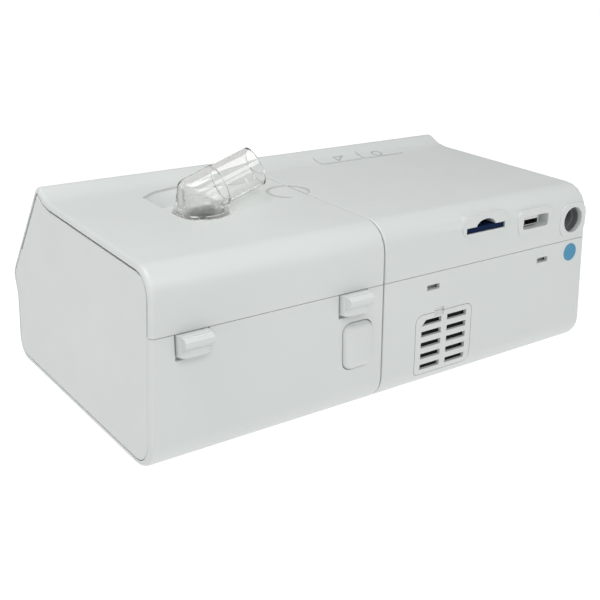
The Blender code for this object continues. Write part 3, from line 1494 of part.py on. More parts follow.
def make_blower():
    place = (BLOWER_X, BLOWER_Y, 0)
    low = BASE_Z + CASING_BOTTOM_HEIGHT
    high = low + CASING_HEIGHT
    wall = CASING_WALL
    profile = (
        (CASING_INLET_RADIUS, high),
        (CASING_RADIUS, high),
        (CASING_RADIUS, low),
        (CASING_SHAFT_HOLE_RADIUS, low),
        (CASING_SHAFT_HOLE_RADIUS, low + wall),
        (CASING_RADIUS - wall, low + wall),
        (CASING_RADIUS - wall, high - wall),
        (CASING_INLET_RADIUS, high - wall),
    )
    casing = make_turned("blower_casing", profile, place, "dark_plastic", FINE_SIDES)
    start = (BLOWER_X + CASING_RADIUS / 2, BLOWER_Y, DUCT_Z)
    end = (BLOWER_X + CASING_RADIUS + OVERRUN, BLOWER_Y, DUCT_Z)
    combine(casing, make_cylinder("casing_outlet", DUCT_RADIUS - DUCT_WALL, start, end))
    floor = BASE_Z + WALL + GAP
    motor_top = low - GAP
    shaft_top = motor_top + MOTOR_SHAFT_LENGTH
    motor = (
        (0, shaft_top),
        (MOTOR_SHAFT_RADIUS, shaft_top),
        (MOTOR_SHAFT_RADIUS, motor_top),
        (MOTOR_RADIUS, motor_top),
        (MOTOR_RADIUS, floor),
        (0, floor),
    )
    make_turned("blower_motor", motor, place, "steel")
    inner = MOTOR_RADIUS + GAP
    lip_low = motor_top - MOUNT_LIP_THICKNESS
    mount = (
        (inner, motor_top),
        (MOUNT_LIP_RADIUS, motor_top),
        (MOUNT_LIP_RADIUS, lip_low),
        (inner + MOUNT_RING_WALL, lip_low),
        (inner + MOUNT_RING_WALL, floor),
        (inner, floor),
    )
    make_turned("blower_mount", mount, place, "rubber")
    make_impeller(low + wall + IMPELLER_FLOAT)


def blade_outline():
    """Plan of one backward swept blade, from the eye to the rim."""
    inner, outer = [], []
    for index in range(IMPELLER_BLADE_POINTS):
        share = index / (IMPELLER_BLADE_POINTS - 1)
        rim = IMPELLER_RADIUS - IMPELLER_BLADE_THICKNESS
        radius = IMPELLER_EYE_RADIUS + (rim - IMPELLER_EYE_RADIUS) * share
        angle = -IMPELLER_SWEEP * share * share
        half_angle = IMPELLER_BLADE_THICKNESS / 2 / radius
        for side, line in ((-1, inner), (1, outer)):
            turn = angle + side * half_angle
            line.append((radius * math.cos(turn), radius * math.sin(turn)))
    return inner + outer[::-1]


def make_impeller(low):
    place = Vector((BLOWER_X, BLOWER_Y, low))
    bore = MOTOR_SHAFT_RADIUS + GAP
    plate = IMPELLER_PLATE
    hub_top = IMPELLER_HUB_HEIGHT
    profile = (
        (bore, hub_top),
        (IMPELLER_HUB_RADIUS * 2 / 3, hub_top),
        (IMPELLER_HUB_RADIUS, hub_top * 2 / 3),
        (IMPELLER_HUB_RADIUS * 4 / 3, plate),
        (IMPELLER_RADIUS, plate),
        (IMPELLER_RADIUS, 0),
        (bore, 0),
    )
    impeller = make_turned("impeller", profile, place, "white_plastic")
    outline = blade_outline()
    top = plate + IMPELLER_BLADE_HEIGHT
    for index in range(IMPELLER_BLADES):
        turn = Matrix.Rotation(math.tau * index / IMPELLER_BLADES, 4, "Z")
        matrix = Matrix.Translation(place) @ turn
        blade = make_prism(f"blade_{index + 1}", outline, matrix, plate / 2, top)
        combine(impeller, blade, "UNION")


def make_tube(name, radius, wall, start, end, finish):
    tube = make_cylinder(name, radius, start, end, finish)
    run = (Vector(end) - Vector(start)).normalized() * OVERRUN
    bore_start, bore_end = Vector(start) - run, Vector(end) + run
    return combine(tube, make_cylinder(name + "_bore", radius - wall, bore_start, bore_end))


def make_air_path(lower, base):
    """The duct from the blower, and the rubber sleeve that crosses the seam to the tank."""
    start_x = BLOWER_X + CASING_RADIUS + GAP
    inner_wall_x = MAIN_SEAM_X - WALL
    duct_end = inner_wall_x - SLEEVE_OVERHANG
    start, end = (start_x, BLOWER_Y, DUCT_Z), (duct_end, BLOWER_Y, DUCT_Z)
    make_tube("air_duct", DUCT_RADIUS, DUCT_WALL, start, end, "dark_plastic")
    sleeve_start = (duct_end + GAP, BLOWER_Y, DUCT_Z)
    tank_wall_x = HUMIDIFIER_SEAM_X + WALL + TANK_SIDE_GAP + TANK_FLANGE
    sleeve_end = (tank_wall_x + TANK_WALL / 2, BLOWER_Y, DUCT_Z)
    make_tube("transfer_sleeve", DUCT_RADIUS, DUCT_WALL, sleeve_start, sleeve_end, "rubber")
    for shell, side in ((lower, -1), (base, 1)):
        low = (SEAM_X, BLOWER_Y, DUCT_Z)
        high = (SEAM_X + side * (WALL + OVERRUN), BLOWER_Y, DUCT_Z)
        radius = DUCT_RADIUS + HOLE_GAP
        combine(shell, make_cylinder(f"{shell.name}_port", radius, low, high))


def make_silencer():
    back = REAR_Y - REAR_BOTTOM_RADIUS - GAP
    low = (CAP_X - SILENCER_WIDTH / 2, back - SILENCER_DEPTH, BASE_Z + WALL + GAP)
    high = (CAP_X + SILENCER_WIDTH / 2, back, BASE_Z + WALL + GAP + SILENCER_HEIGHT)
    make_box("inlet_silencer", low, high, "foam")


def circuit_edges():
    low_x = -HALF_LENGTH + DRAFT_RUN * CIRCUIT_HEIGHT + CIRCUIT_MARGIN
    high_x = MAIN_SEAM_X - CIRCUIT_MARGIN
    low_y = REAR_Y - CIRCUIT_FRONT_DEPTH
    return low_x, high_x, low_y, low_y + CIRCUIT_DEPTH


def make_circuit_board():
    low_x, high_x, low_y, high_y = circuit_edges()
    low_z = BASE_Z + CIRCUIT_HEIGHT
    low = (low_x, low_y, low_z)
    make_box("circuit_board", low, (high_x, high_y, low_z + BOARD_THICKNESS), "circuit_green")


def make_pillars():
    """Towers of the lower housing that carry the circuit board, as bodies left in the cavity."""
    low_x, high_x, low_y, high_y = circuit_edges()
    inset = PILLAR_INSET
    pillars = []
    for x in (low_x + inset, high_x - inset):
        for y in (low_y + inset, high_y - inset):
            low = (x, y, BASE_Z)
            high = (x, y, BASE_Z + CIRCUIT_HEIGHT - GAP)
            name = f"pillar_{len(pillars) + 1}"
            pillars.append(make_cylinder(name, PILLAR_RADIUS, low, high, sides=12))
    return pillars


# Feet


def make_feet(name, shell, corner_xs):
    count = 0
    for x in corner_xs:
        for depth in (FOOT_REAR_DEPTH, FOOT_FRONT_DEPTH):
            count += 1
            y = REAR_Y - depth
            top = BASE_Z + FOOT_POCKET - GAP
            edge = FOOT_RADIUS / 8
            profile = (
                (0, top),
                (FOOT_RADIUS, top),
                (FOOT_RADIUS, edge),
                (FOOT_RADIUS - edge, 0),
                (0, 0),
            )
            foot = f"{name}_{count}"
            make_turned(foot, profile, (x, y, 0), "rubber", 24)
            low, high = (x, y, BASE_Z - OVERRUN), (x, y, BASE_Z + FOOT_POCKET)
            radius = FOOT_RADIUS + GAP
            combine(shell, make_cylinder(foot + "_pocket", radius, low, high, sides=24))


def make_all_feet(lower, base):
    outer = HALF_LENGTH - FOOT_SIDE_INSET
    make_feet("main_foot", lower, (-outer, MAIN_SEAM_X - FOOT_SEAM_INSET))
    make_feet("humidifier_foot", base, (HUMIDIFIER_SEAM_X + FOOT_SEAM_INSET, outer))


def make_machine():
    above, below = make_cutting_planes()
    upper, lower = make_main_shells(above, below)
    lid, base = make_humidifier_shells(above, below)
    make_end_panel(below)
    make_hinges(lid, base)
    cut_outlet_hole(lid)
    make_outlet_port()
    make_elbow()
    make_elbow_seal()
    make_tank()
    make_tank_cover()
    make_tank_seal()
    make_heater()
    make_latches(base)
    make_release_button(base)
    make_keys(upper)
    make_window("display_window", upper, WINDOW_X, WINDOW_WIDTH, WINDOW_HEIGHT, "dark_glass")
    width, height = WATER_WINDOW_WIDTH, WATER_WINDOW_HEIGHT
    make_window("water_window", lid, WATER_WINDOW_X, width, height, "clear_plastic")
    make_lcd()
    make_knob(upper)
    cut_filter_well(lower)
    make_filter_foam()
    make_filter_cap()
    cut_hook_slots(lower)
    make_card_slot(upper)
    make_data_port(upper)
    make_power_inlet(upper)
    make_io_board()
    make_blower()
    make_air_path(lower, base)
    make_silencer()
    make_circuit_board()
    make_all_feet(lower, base)


REAR_Y = centred_rear()
ELBOW_Y = REAR_Y - ELBOW_DEPTH
BLOWER_Y = REAR_Y - BLOWER_DEPTH
clear_scene()
PARTS = make_collection("cpap_machine", False)
CUTTERS = make_collection("cutters", True)
make_machine()
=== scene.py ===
"""The looks of a bedside CPAP machine: finishes, clear elbow, small fittings, marks and stage."""

import json
import math
from collections import namedtuple

import bmesh
import bpy
from bpy.props import (
    FloatProperty,
    FloatVectorProperty,
    IntProperty,
    PointerProperty,
)
from mathutils import Matrix, Vector
from mathutils.bvhtree import BVHTree


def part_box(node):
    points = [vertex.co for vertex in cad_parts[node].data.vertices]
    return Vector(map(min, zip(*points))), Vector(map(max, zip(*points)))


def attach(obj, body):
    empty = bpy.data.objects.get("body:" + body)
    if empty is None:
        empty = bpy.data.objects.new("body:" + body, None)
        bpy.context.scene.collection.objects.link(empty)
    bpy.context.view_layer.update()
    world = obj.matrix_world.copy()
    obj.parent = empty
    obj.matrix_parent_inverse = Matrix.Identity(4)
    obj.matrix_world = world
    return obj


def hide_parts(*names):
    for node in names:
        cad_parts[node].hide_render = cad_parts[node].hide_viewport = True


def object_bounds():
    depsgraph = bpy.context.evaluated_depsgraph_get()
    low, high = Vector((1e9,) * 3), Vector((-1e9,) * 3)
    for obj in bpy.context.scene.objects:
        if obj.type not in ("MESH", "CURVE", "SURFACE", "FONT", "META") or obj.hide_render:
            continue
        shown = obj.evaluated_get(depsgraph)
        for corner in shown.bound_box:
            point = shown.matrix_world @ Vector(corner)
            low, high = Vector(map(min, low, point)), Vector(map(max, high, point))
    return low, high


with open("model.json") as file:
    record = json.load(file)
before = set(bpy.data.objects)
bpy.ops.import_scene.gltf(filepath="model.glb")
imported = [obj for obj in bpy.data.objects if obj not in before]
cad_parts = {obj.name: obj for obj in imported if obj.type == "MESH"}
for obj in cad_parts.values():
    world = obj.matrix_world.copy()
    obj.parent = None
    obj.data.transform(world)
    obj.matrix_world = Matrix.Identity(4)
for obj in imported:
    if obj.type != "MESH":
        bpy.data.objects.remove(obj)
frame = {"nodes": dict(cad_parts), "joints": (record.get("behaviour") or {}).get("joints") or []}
CAD_LOW, CAD_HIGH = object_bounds()

bl_info = {
    "name": "CPAP machine looks",
    "version": (1, 0, 0),
    "blender": (4, 5, 0),
    "location": "3D View > Sidebar > CPAP",
    "description": "Finishes and fine pieces of a bedside CPAP machine",
    "category": "Object",
}

MILLIMETRE = 0.001
TOP_SLOPE = math.tan(math.radians(2.35))
SMOOTH_ANGLE = math.radians(30)
WELD_DISTANCE = 0.000002
UP = Vector((0, 0, 1))

# A point of the tilted top's skin, and how far the channel's end stays under that skin
SKIN_Y, SKIN_Z = 0.003237, 0.104127
CHANNEL_SINK = 0.0004
# The channel's floor, its middle line that bends to the rear, and the longest way to its walls
CHANNEL_FLOOR_Z = 0.0967
CHANNEL_MIDDLE_Y = 0.0032
CHANNEL_BEND_X, CHANNEL_BEND = 0.0383, 0.15
CHANNEL_REACH = 0.04
# The slope between skin and floor, its end on the flow generator, and the middle of the dish on
# it, whose round edge is drawn only as a ring of painted shade
SLOPE_TOP_X, SLOPE_FOOT_X = 0.031, 0.052
MAIN_CHANNEL_X = 0.0034
DISH_X, DISH_Y = 0.0175, 0.0085
DISH_STEPS = 96

# On the rear wall: the sticker, and the plates behind the hook slots
STICKER_X, STICKER_Z = -0.1306, 0.0623
SLOT_XS, SLOT_Z = (-0.0225, -0.10676), 0.0617
SLOT_WIDTH, SLOT_HEIGHT = 0.0112, 0.0052
SLOT_DEPTH = 0.0039

# Degrees round the elbow's ring
NOTCH_ANGLES = (31, 65, 211, 245)

DUST_COLOUR = (0.62, 0.61, 0.58)
FLOOR_SIZE = 8.0
# How much brighter the sky is through clear plastic
CLEAR_GLOW = 0.35
# The point that the soft boxes face, and for each the setting with its power, its size and place
LAMP_AIM = (0, 0, 0.05)
SOFT_BOXES = {
    "Rear box": ("rear_box", (0.9, 0.36), (0.10, 0.80, 0.75)),
    "Top box": ("top_box", (0.5, 0.5), (0.45, 0.05, 1.05)),
}

WHITE_NODES = (
    "main_upper_housing",
    "main_lower_housing",
    "humidifier_lid",
    "humidifier_base",
    "end_panel",
    "outlet_port",
    "latch_outer",
    "latch_inner",
    "release_button",
    "ramp_key",
    "mode_key",
    "filter_cap",
    "impeller",
)
RUBBER_NODES = (
    "elbow_seal",
    "transfer_sleeve",
    "blower_mount",
    *(f"main_foot_{index}" for index in range(1, 5)),
    *(f"humidifier_foot_{index}" for index in range(1, 5)),
)
GREY_NODES = ("heater_insulator", "lcd_module", "card_socket", "power_inlet")
BLACK_NODES = ("knob_encoder", "blower_casing", "air_duct")
STEEL_NODES = ("hinge_pin_1", "hinge_pin_2", "data_port", "blower_motor")
BOARD_NODES = ("io_board", "circuit_board")
FOAM_NODES = {"filter_foam": "filter_pad", "inlet_silencer": "silencer_block"}


# User settings


class FinishSettings(bpy.types.PropertyGroup):
    housing: FloatVectorProperty(
        name="Housing", description="Colour of the white mouldings", subtype="COLOR",
        default=(0.630, 0.658, 0.648), min=0, max=1,
    )
    knob: FloatVectorProperty(
        name="Knob", description="Colour of the control knob", subtype="COLOR",
        default=(0.42, 0.44, 0.46), min=0, max=1,
    )
    card: FloatVectorProperty(
        name="Card", description="Colour of the data card", subtype="COLOR",
        default=(0.002, 0.013, 0.052), min=0, max=1,
    )
    sticker: FloatVectorProperty(
        name="Sticker", description="Colour of the round sticker at the rear", subtype="COLOR",
        default=(0.030, 0.22, 0.37), min=0, max=1,
    )
    ink: FloatVectorProperty(
        name="Ink", description="Colour of the marks on the keys", subtype="COLOR",
        default=(0.36, 0.38, 0.39), min=0, max=1,
    )
    grain: FloatProperty(
        name="Grain", description="Depth of the moulded texture", subtype="DISTANCE",
        default=0.00002, min=0,
    )


class MarkSettings(bpy.types.PropertyGroup):
    icon_size: FloatProperty(
        name="Icon size", description="Height of the marks on the two keys",
        subtype="DISTANCE", default=0.0076, min=0.001,
    )
    line: FloatProperty(
        name="Line", description="Width of a printed line", subtype="DISTANCE",
        default=0.0010, min=0.0001,
    )
    print_depth: FloatProperty(
        name="Print depth", description="How far a print stands over its surface",
        subtype="DISTANCE", default=0.00008, min=0.00001,
    )
    sticker: FloatProperty(
        name="Sticker radius", description="Radius of the round sticker",
        subtype="DISTANCE", default=0.0053, min=0.001,
    )


class FittingSettings(bpy.types.PropertyGroup):
    contacts: IntProperty(
        name="Contacts", description="Contacts in the data port", default=4, min=1,
    )
    screw: FloatProperty(
        name="Screw radius", description="Radius of the screw heads underneath",
        subtype="DISTANCE", default=0.0030, min=0.0005,
    )
    screw_height: FloatProperty(
        name="Screw height", description="How far the screw heads stand under the housings",
        subtype="DISTANCE", default=0.0009, min=0.0002,
    )
    # The dish is drawn only as a ring of painted shade at its edge: its radius, and below the
    # ring's width
    dish: FloatProperty(
        name="Dish radius", description="Radius of the round dish at the channel's end",
        subtype="DISTANCE", default=0.0130, min=0.002,
    )
    dish_shade_width: FloatProperty(
        name="Dish edge", description="Width of the dish's edge", subtype="DISTANCE",
        default=0.0022, min=0.0002,
    )
    sleeve: FloatProperty(
        name="Sleeve radius", description="Outer radius of the power socket's sleeve",
        subtype="DISTANCE", default=0.0070, min=0.001,
    )
    sleeve_length: FloatProperty(
        name="Sleeve length", description="How far the sleeve stands out of the socket",
        subtype="DISTANCE", default=0.0035, min=0.0005,
    )
    level_marks: IntProperty(
        name="Level marks", description="Lines that show the water level", default=4, min=2,
    )


class ElbowSettings(bpy.types.PropertyGroup):
    turn: FloatProperty(
        name="Turn", description="Where the outlet tube points, from the machine's length",
        subtype="ANGLE", default=math.radians(173.0),
    )
    rise: FloatProperty(
        name="Rise", description="How steeply the outlet tube climbs", subtype="ANGLE",
        default=math.radians(20.7),
    )
    knee: FloatProperty(
        name="Knee", description="Height of the bend over the ring", subtype="DISTANCE",
        default=0.0107, min=0.001,
    )
    reach: FloatProperty(
        name="Reach", description="Length of the outlet tube from the bend",
        subtype="DISTANCE", default=0.0346, min=0.01,
    )
    shoulder: FloatProperty(
        name="Shoulder", description="Where the tube's wall gets thinner, from the bend",
        subtype="DISTANCE", default=0.0121, min=0.001,
    )
    tube: FloatProperty(
        name="Tube radius", description="Outer radius of the outlet tube",
        subtype="DISTANCE", default=0.01105, min=0.001,
    )
    bore: FloatProperty(
        name="Bore radius", description="Inner radius of the outlet tube",
        subtype="DISTANCE", default=0.0094, min=0.001,
    )
    collar: FloatProperty(
        name="Collar radius", description="Radius of the elbow's foot over its ring",
        subtype="DISTANCE", default=0.0143, min=0.001,
    )
    ring: FloatProperty(
        name="Ring radius", description="Radius of the ring that turns on the port",
        subtype="DISTANCE", default=0.0153, min=0.001,
    )
    ring_thickness: FloatProperty(
        name="Ring thickness", description="Thickness of the ring", subtype="DISTANCE",
        default=0.0024, min=0.0005,
    )
    spigot: FloatProperty(
        name="Spigot radius", description="Outer radius of the spigot in the port",
        subtype="DISTANCE", default=0.0102, min=0.001,
    )
    spigot_bore: FloatProperty(
        name="Spigot bore", description="Inner radius of the spigot", subtype="DISTANCE",
        default=0.0086, min=0.001,
    )
    spigot_length: FloatProperty(
        name="Spigot length", description="How far the spigot reaches under the ring",
        subtype="DISTANCE", default=0.0095, min=0.001,
    )
    notch: FloatProperty(
        name="Notch", description="Width of a notch in the ring", subtype="DISTANCE",
        default=0.0040, min=0.0005,
    )
    sides: IntProperty(name="Sides", description="Sides of the tube", default=120, min=24)


class StageSettings(bpy.types.PropertyGroup):
    azimuth: FloatProperty(
        name="Azimuth", description="Where the camera stands round the machine",
        subtype="ANGLE", default=math.radians(145.31),
    )
    elevation: FloatProperty(
        name="Elevation", description="How high the camera looks from",
        subtype="ANGLE", default=math.radians(20.10),
    )
    distance: FloatProperty(
        name="Distance", description="From the camera to the point it looks at",
        subtype="DISTANCE", default=0.5674, min=0.1,
    )
    aim: FloatVectorProperty(
        name="Aim", description="The point that the camera looks at",
        subtype="TRANSLATION", default=(0.0, -0.0055, 0.0313),
    )
    lens: FloatProperty(
        name="Lens", description="Focal length on a 36 mm sensor", default=56.18, min=10,
    )
    sky: FloatProperty(
        name="Sky", description="Strength of the even studio light", default=0.35, min=0,
    )
    floor_glow: FloatProperty(
        name="Floor glow", description="Light that the pale floor gives by itself",
        default=0.94, min=0,
    )
    rear_box: FloatProperty(
        name="Rear box", description="Power of the long soft box behind the machine",
        subtype="POWER", default=3.8, min=0,
    )
    top_box: FloatProperty(
        name="Top box", description="Power of the soft box overhead",
        subtype="POWER", default=6.6, min=0,
    )


# Meshes and objects


def look():
    return bpy.context.scene.cpap_finish


def marks():
    return bpy.context.scene.cpap_marks


def fittings():
    return bpy.context.scene.cpap_fittings


def elbow_sizes():
    return bpy.context.scene.cpap_elbow


def stage_values():
    return bpy.context.scene.cpap_stage


def add_object(name, data):
    made = bpy.data.objects.new(name, data)
    bpy.context.scene.collection.objects.link(made)
    return made


def add_piece(name, mesh, body, material):
    """An object for a finished mesh that rides on a body of the frame."""
    made = add_object(name, mesh)
    mesh.materials.clear()
    mesh.materials.append(material)
    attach(made, body)
    return made


def add_shape(name, shape, body, material, matrix=None):
    return add_piece(name, mesh_from(name, shape, matrix), body, material)


def mesh_from(name, shape, matrix=None):
    if matrix:
        bmesh.ops.transform(shape, matrix=matrix, verts=shape.verts)
    bmesh.ops.recalc_face_normals(shape, faces=shape.faces)
    mesh = bpy.data.meshes.new(name)
    shape.to_mesh(mesh)
    shape.free()
    mesh.shade_smooth()
    mesh.set_sharp_from_angle(angle=SMOOTH_ANGLE)
    return mesh


def join_rows(shape, rows, closed=True):
    """Faces between loops of vertices, and from the last loop to the first if closed."""
    followers = rows[1:] + rows[:1] if closed else rows[1:]
    for row, following in zip(rows, followers):
        for index, vertex in enumerate(row):
            after = (index + 1) % len(row)
            shape.faces.new((vertex, row[after], following[after], following[index]))


def add_prism(shape, outline, low, high):
    """Adds an outline in XY to the shape, as a solid from low to high."""
    ends = [[shape.verts.new((x, y, height)) for x, y in outline] for height in (low, high)]
    for end in ends:
        shape.faces.new(end)
    join_rows(shape, ends, closed=False)


def add_band(shape, outer, inner, low, high):
    """Adds the band between two outlines in XY to the shape, as a solid from low to high."""
    rows = []
    for outline, height in ((outer, low), (outer, high), (inner, high), (inner, low)):
        rows.append([shape.verts.new((x, y, height)) for x, y in outline])
    join_rows(shape, rows)


def circle(radius, sides=48):
    steps = [math.tau * step / sides for step in range(sides)]
    return [(radius * math.cos(angle), radius * math.sin(angle)) for angle in steps]


def rectangle(width, height, y):
    right, top, foot = width / 2, y + height / 2, y - height / 2
    return [(-right, foot), (right, foot), (right, top), (-right, top)]


def skin_of(node):
    """The surface of a CAD node, to cast rays at."""
    data = frame["nodes"][node].data
    return BVHTree.FromPolygons(
        [vertex.co for vertex in data.vertices], [face.vertices for face in data.polygons]
    )


def node_middle(node):
    low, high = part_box(node)
    return (low + high) / 2


def rear_matrix(x, y, z):
    """Local X runs along -X, local Y up and local Z to the rear."""
    turn = Matrix(((-1, 0, 0), (0, 0, 1), (0, 1, 0))).to_4x4()
    return Matrix.Translation((x, y, z)) @ turn


def joint_of(name):
    return next(joint for joint in frame["joints"] if joint["name"] == name)


def knob_matrix():
    """On the sloping front at the knob's axis: local Y up the slope and local Z out of it."""
    joint = joint_of("knob_turn")
    out = Vector(joint["axis"])
    across = Vector((1, 0, 0))
    up_slope = out.cross(across)
    turn = Matrix((across, up_slope, out)).transposed().to_4x4()
    return Matrix.Translation(joint["pos_m"]) @ turn


# Nodes of shaders and geometry


def feed(tree, socket, value):
    """Links a socket, or sets it to a number, a vector or a colour of three parts."""
    if isinstance(value, bpy.types.NodeSocket):
        tree.links.new(value, socket)
    elif socket.type == "RGBA":
        socket.default_value = (*value, 1)
    else:
        socket.default_value = value


def set_inputs(tree, node, **values):
    """Feeds a node's inputs by their labels, with _ for each space."""
    for label, value in values.items():
        feed(tree, node.inputs[label.replace("_", " ")], value)


def add_node(tree, kind, **values):
    node = tree.nodes.new(kind)
    set_inputs(tree, node, **values)
    return node


def add_math(tree, operation, *values):
    node = tree.nodes.new("ShaderNodeMath")
    node.operation = operation
    for socket, value in zip(node.inputs, values):
        feed(tree, socket, value)
    return node.outputs[0]


def add_noise(tree, vector, scale, detail=3.0, roughness=0.55):
    node = add_node(
        tree, "ShaderNodeTexNoise", Vector=vector, Scale=scale, Detail=detail, Roughness=roughness
    )
    return node.outputs["Fac"]


def add_mix(tree, share, first, second, blend="MIX"):
    """Mixes two colours, in the sockets that a Mix node has for its share and for colours."""
    node = tree.nodes.new("ShaderNodeMix")
    node.data_type = "RGBA"
    node.blend_type = blend
    for index, value in ((0, share), (6, first), (7, second)):
        feed(tree, node.inputs[index], value)
    return node.outputs[2]


def add_range(tree, value, low, high, to_low, to_high):
    node = add_node(
        tree, "ShaderNodeMapRange",
        Value=value, From_Min=low, From_Max=high, To_Min=to_low, To_Max=to_high,
    )
    return node.outputs["Result"]


def object_place(tree):
    return tree.nodes.new("ShaderNodeTexCoord").outputs["Object"]


def height_of(tree, vector):
    return add_node(tree, "ShaderNodeSeparateXYZ", Vector=vector).outputs["Z"]


# Shader node groups


def new_group(name, inputs, outputs):
    """A shader group with float or colour sockets, and its two end nodes."""
    group = bpy.data.node_groups.new(name, "ShaderNodeTree")
    for label, value in inputs.items():
        kind = "NodeSocketColor" if isinstance(value, tuple) else "NodeSocketFloat"
        socket = group.interface.new_socket(label, in_out="INPUT", socket_type=kind)
        socket.default_value = (*value, 1) if isinstance(value, tuple) else value
    for label in outputs:
        kind = "NodeSocketColor" if label == "Colour" else "NodeSocketFloat"
        group.interface.new_socket(label, in_out="OUTPUT", socket_type=kind)
    return group, group.nodes.new("NodeGroupInput"), group.nodes.new("NodeGroupOutput")


def moulded_group():
    """Spark eroded grain with slow changes of colour and gloss, as on injection mouldings."""
    group, start, end = new_group(
        "Moulded surface",
        {"Colour": (0.7, 0.7, 0.7), "Grain size": 0.0004, "Roughness": 0.45, "Change": 0.03},
        ("Colour", "Roughness", "Height"),
    )
    place = object_place(group)
    fine_scale = add_math(group, "DIVIDE", 1.0, start.outputs["Grain size"])
    fine = add_noise(group, place, fine_scale, 4.0, 0.6)
    slow = add_noise(group, place, 14.0, 2.0)
    smudge = add_noise(group, place, 55.0, 4.0, 0.65)
    darkest = add_math(group, "SUBTRACT", 1.0, start.outputs["Change"])
    shade = add_range(group, slow, 0.3, 0.7, darkest, 1.0)
    toned = add_mix(group, 1.0, start.outputs["Colour"], shade, "MULTIPLY")
    grain_shade = add_range(group, fine, 0.3, 0.7, darkest, 1.0)
    coloured = add_mix(group, 0.6, toned, add_mix(group, 1.0, toned, grain_shade, "MULTIPLY"))
    gloss = add_range(group, smudge, 0.35, 0.70, -0.05, 0.06)
    rough = add_math(group, "ADD", start.outputs["Roughness"], gloss)
    set_inputs(group, end, Colour=coloured, Roughness=rough, Height=fine)
    return group


def dust_group():
    """Fine dust that settles on what faces up, as a mask."""
    group, start, end = new_group("Settled dust", {"Amount": 0.1}, ("Mask",))
    place = object_place(group)
    specks = add_range(group, add_noise(group, place, 900.0, 2.0), 0.55, 0.75, 0.0, 1.0)
    speckled = add_math(group, "MULTIPLY", specks, add_noise(group, place, 30.0, 3.0))
    normal = group.nodes.new("ShaderNodeNewGeometry").outputs["Normal"]
    upward = add_range(group, height_of(group, normal), 0.6, 1.0, 0.0, 1.0)
    mask = add_math(group, "MULTIPLY", speckled, upward)
    set_inputs(group, end, Mask=add_math(group, "MULTIPLY", mask, start.outputs["Amount"]))
    return group


def brushed_group():
    """Fine drawn lines along one axis of the object, as a height and a change of gloss."""
    group, start, end = new_group(
        "Drawn lines", {"Density": 1500.0, "Roughness": 0.3}, ("Roughness", "Height")
    )
    stretch = group.nodes.new("ShaderNodeVectorMath")
    stretch.operation = "MULTIPLY"
    feed(group, stretch.inputs[0], object_place(group))
    feed(group, stretch.inputs[1], (0.04, 1.0, 1.0))
    lines = add_noise(group, stretch.outputs[0], start.outputs["Density"], 2.0)
    gloss = add_range(group, lines, 0.3, 0.7, -0.08, 0.10)
    rough = add_math(group, "ADD", start.outputs["Roughness"], gloss)
    set_inputs(group, end, Roughness=rough, Height=lines)
    return group


def cell_group():
    """Open cells of a foam, as a mask of their walls and a height; the hollows outside the walls
    get painted shade.
    """
    group, start, end = new_group("Foam cells", {"Cell size": 0.001}, ("Mask", "Height"))
    scale = add_math(group, "DIVIDE", 1.0, start.outputs["Cell size"])
    cells = add_node(group, "ShaderNodeTexVoronoi", Vector=object_place(group), Scale=scale)
    cells.feature = "DISTANCE_TO_EDGE"
    walls = add_range(group, cells.outputs["Distance"], 0.0, 0.25, 1.0, 0.0)
    set_inputs(group, end, Mask=walls, Height=walls)
    return group


GROUP_BUILDERS = {
    "Moulded surface": moulded_group,
    "Settled dust": dust_group,
    "Drawn lines": brushed_group,
    "Foam cells": cell_group,
}


def place_group(tree, name, **values):
    """Puts a shared shader group into a material, and builds it the first time."""
    node = tree.nodes.new("ShaderNodeGroup")
    node.node_tree = bpy.data.node_groups.get(name) or GROUP_BUILDERS[name]()
    set_inputs(tree, node, **values)
    return node


# Materials


def new_material(name, **values):
    """A Principled material with constants on its sockets. Returns it with its tree and shader."""
    material = bpy.data.materials.new(name)
    material.use_nodes = True
    tree = material.node_tree
    shader = tree.nodes["Principled BSDF"]
    set_inputs(tree, shader, **values)
    return material, tree, shader


def link_bump(tree, shader, height, distance):
    bump = add_node(tree, "ShaderNodeBump", Strength=1.0, Distance=distance, Height=height)
    set_inputs(tree, shader, Normal=bump.outputs["Normal"])


def moulded_material(name, colour, roughness, grain_size=0.0004, change=0.03, dust=0.0, **values):
    """Moulded plastic or rubber, with the size of its grain and how much its tone changes."""
    material, tree, shader = new_material(name, **values)
    surface = place_group(
        tree, "Moulded surface",
        Colour=colour, Grain_size=grain_size, Roughness=roughness, Change=change,
    )
    result = surface.outputs["Colour"]
    if dust:
        settled = place_group(tree, "Settled dust", Amount=dust)
        result = add_mix(tree, settled.outputs["Mask"], result, DUST_COLOUR)
    set_inputs(tree, shader, Base_Color=result, Roughness=surface.outputs["Roughness"])
    link_bump(tree, shader, surface.outputs["Height"], look().grain)
    return material


def white_material(name):
    """The housings' plastic. Made once for each name."""
    return bpy.data.materials.get(name) or moulded_material(
        name, look().housing, 0.42, 0.00045, 0.025, dust=0.05
    )


def metal_material(name, colour, roughness, density=1500.0):
    """Drawn or plated metal, with the density of its fine lines."""
    material, tree, shader = new_material(name, Metallic=1.0)
    lines = place_group(tree, "Drawn lines", Density=density, Roughness=roughness)
    tint = add_noise(tree, object_place(tree), 60.0)
    darker = tuple(0.8 * part for part in colour)
    tinted = add_mix(tree, tint, colour, darker)
    set_inputs(tree, shader, Base_Color=tinted, Roughness=lines.outputs["Roughness"])
    link_bump(tree, shader, lines.outputs["Height"], look().grain / 2)
    return material


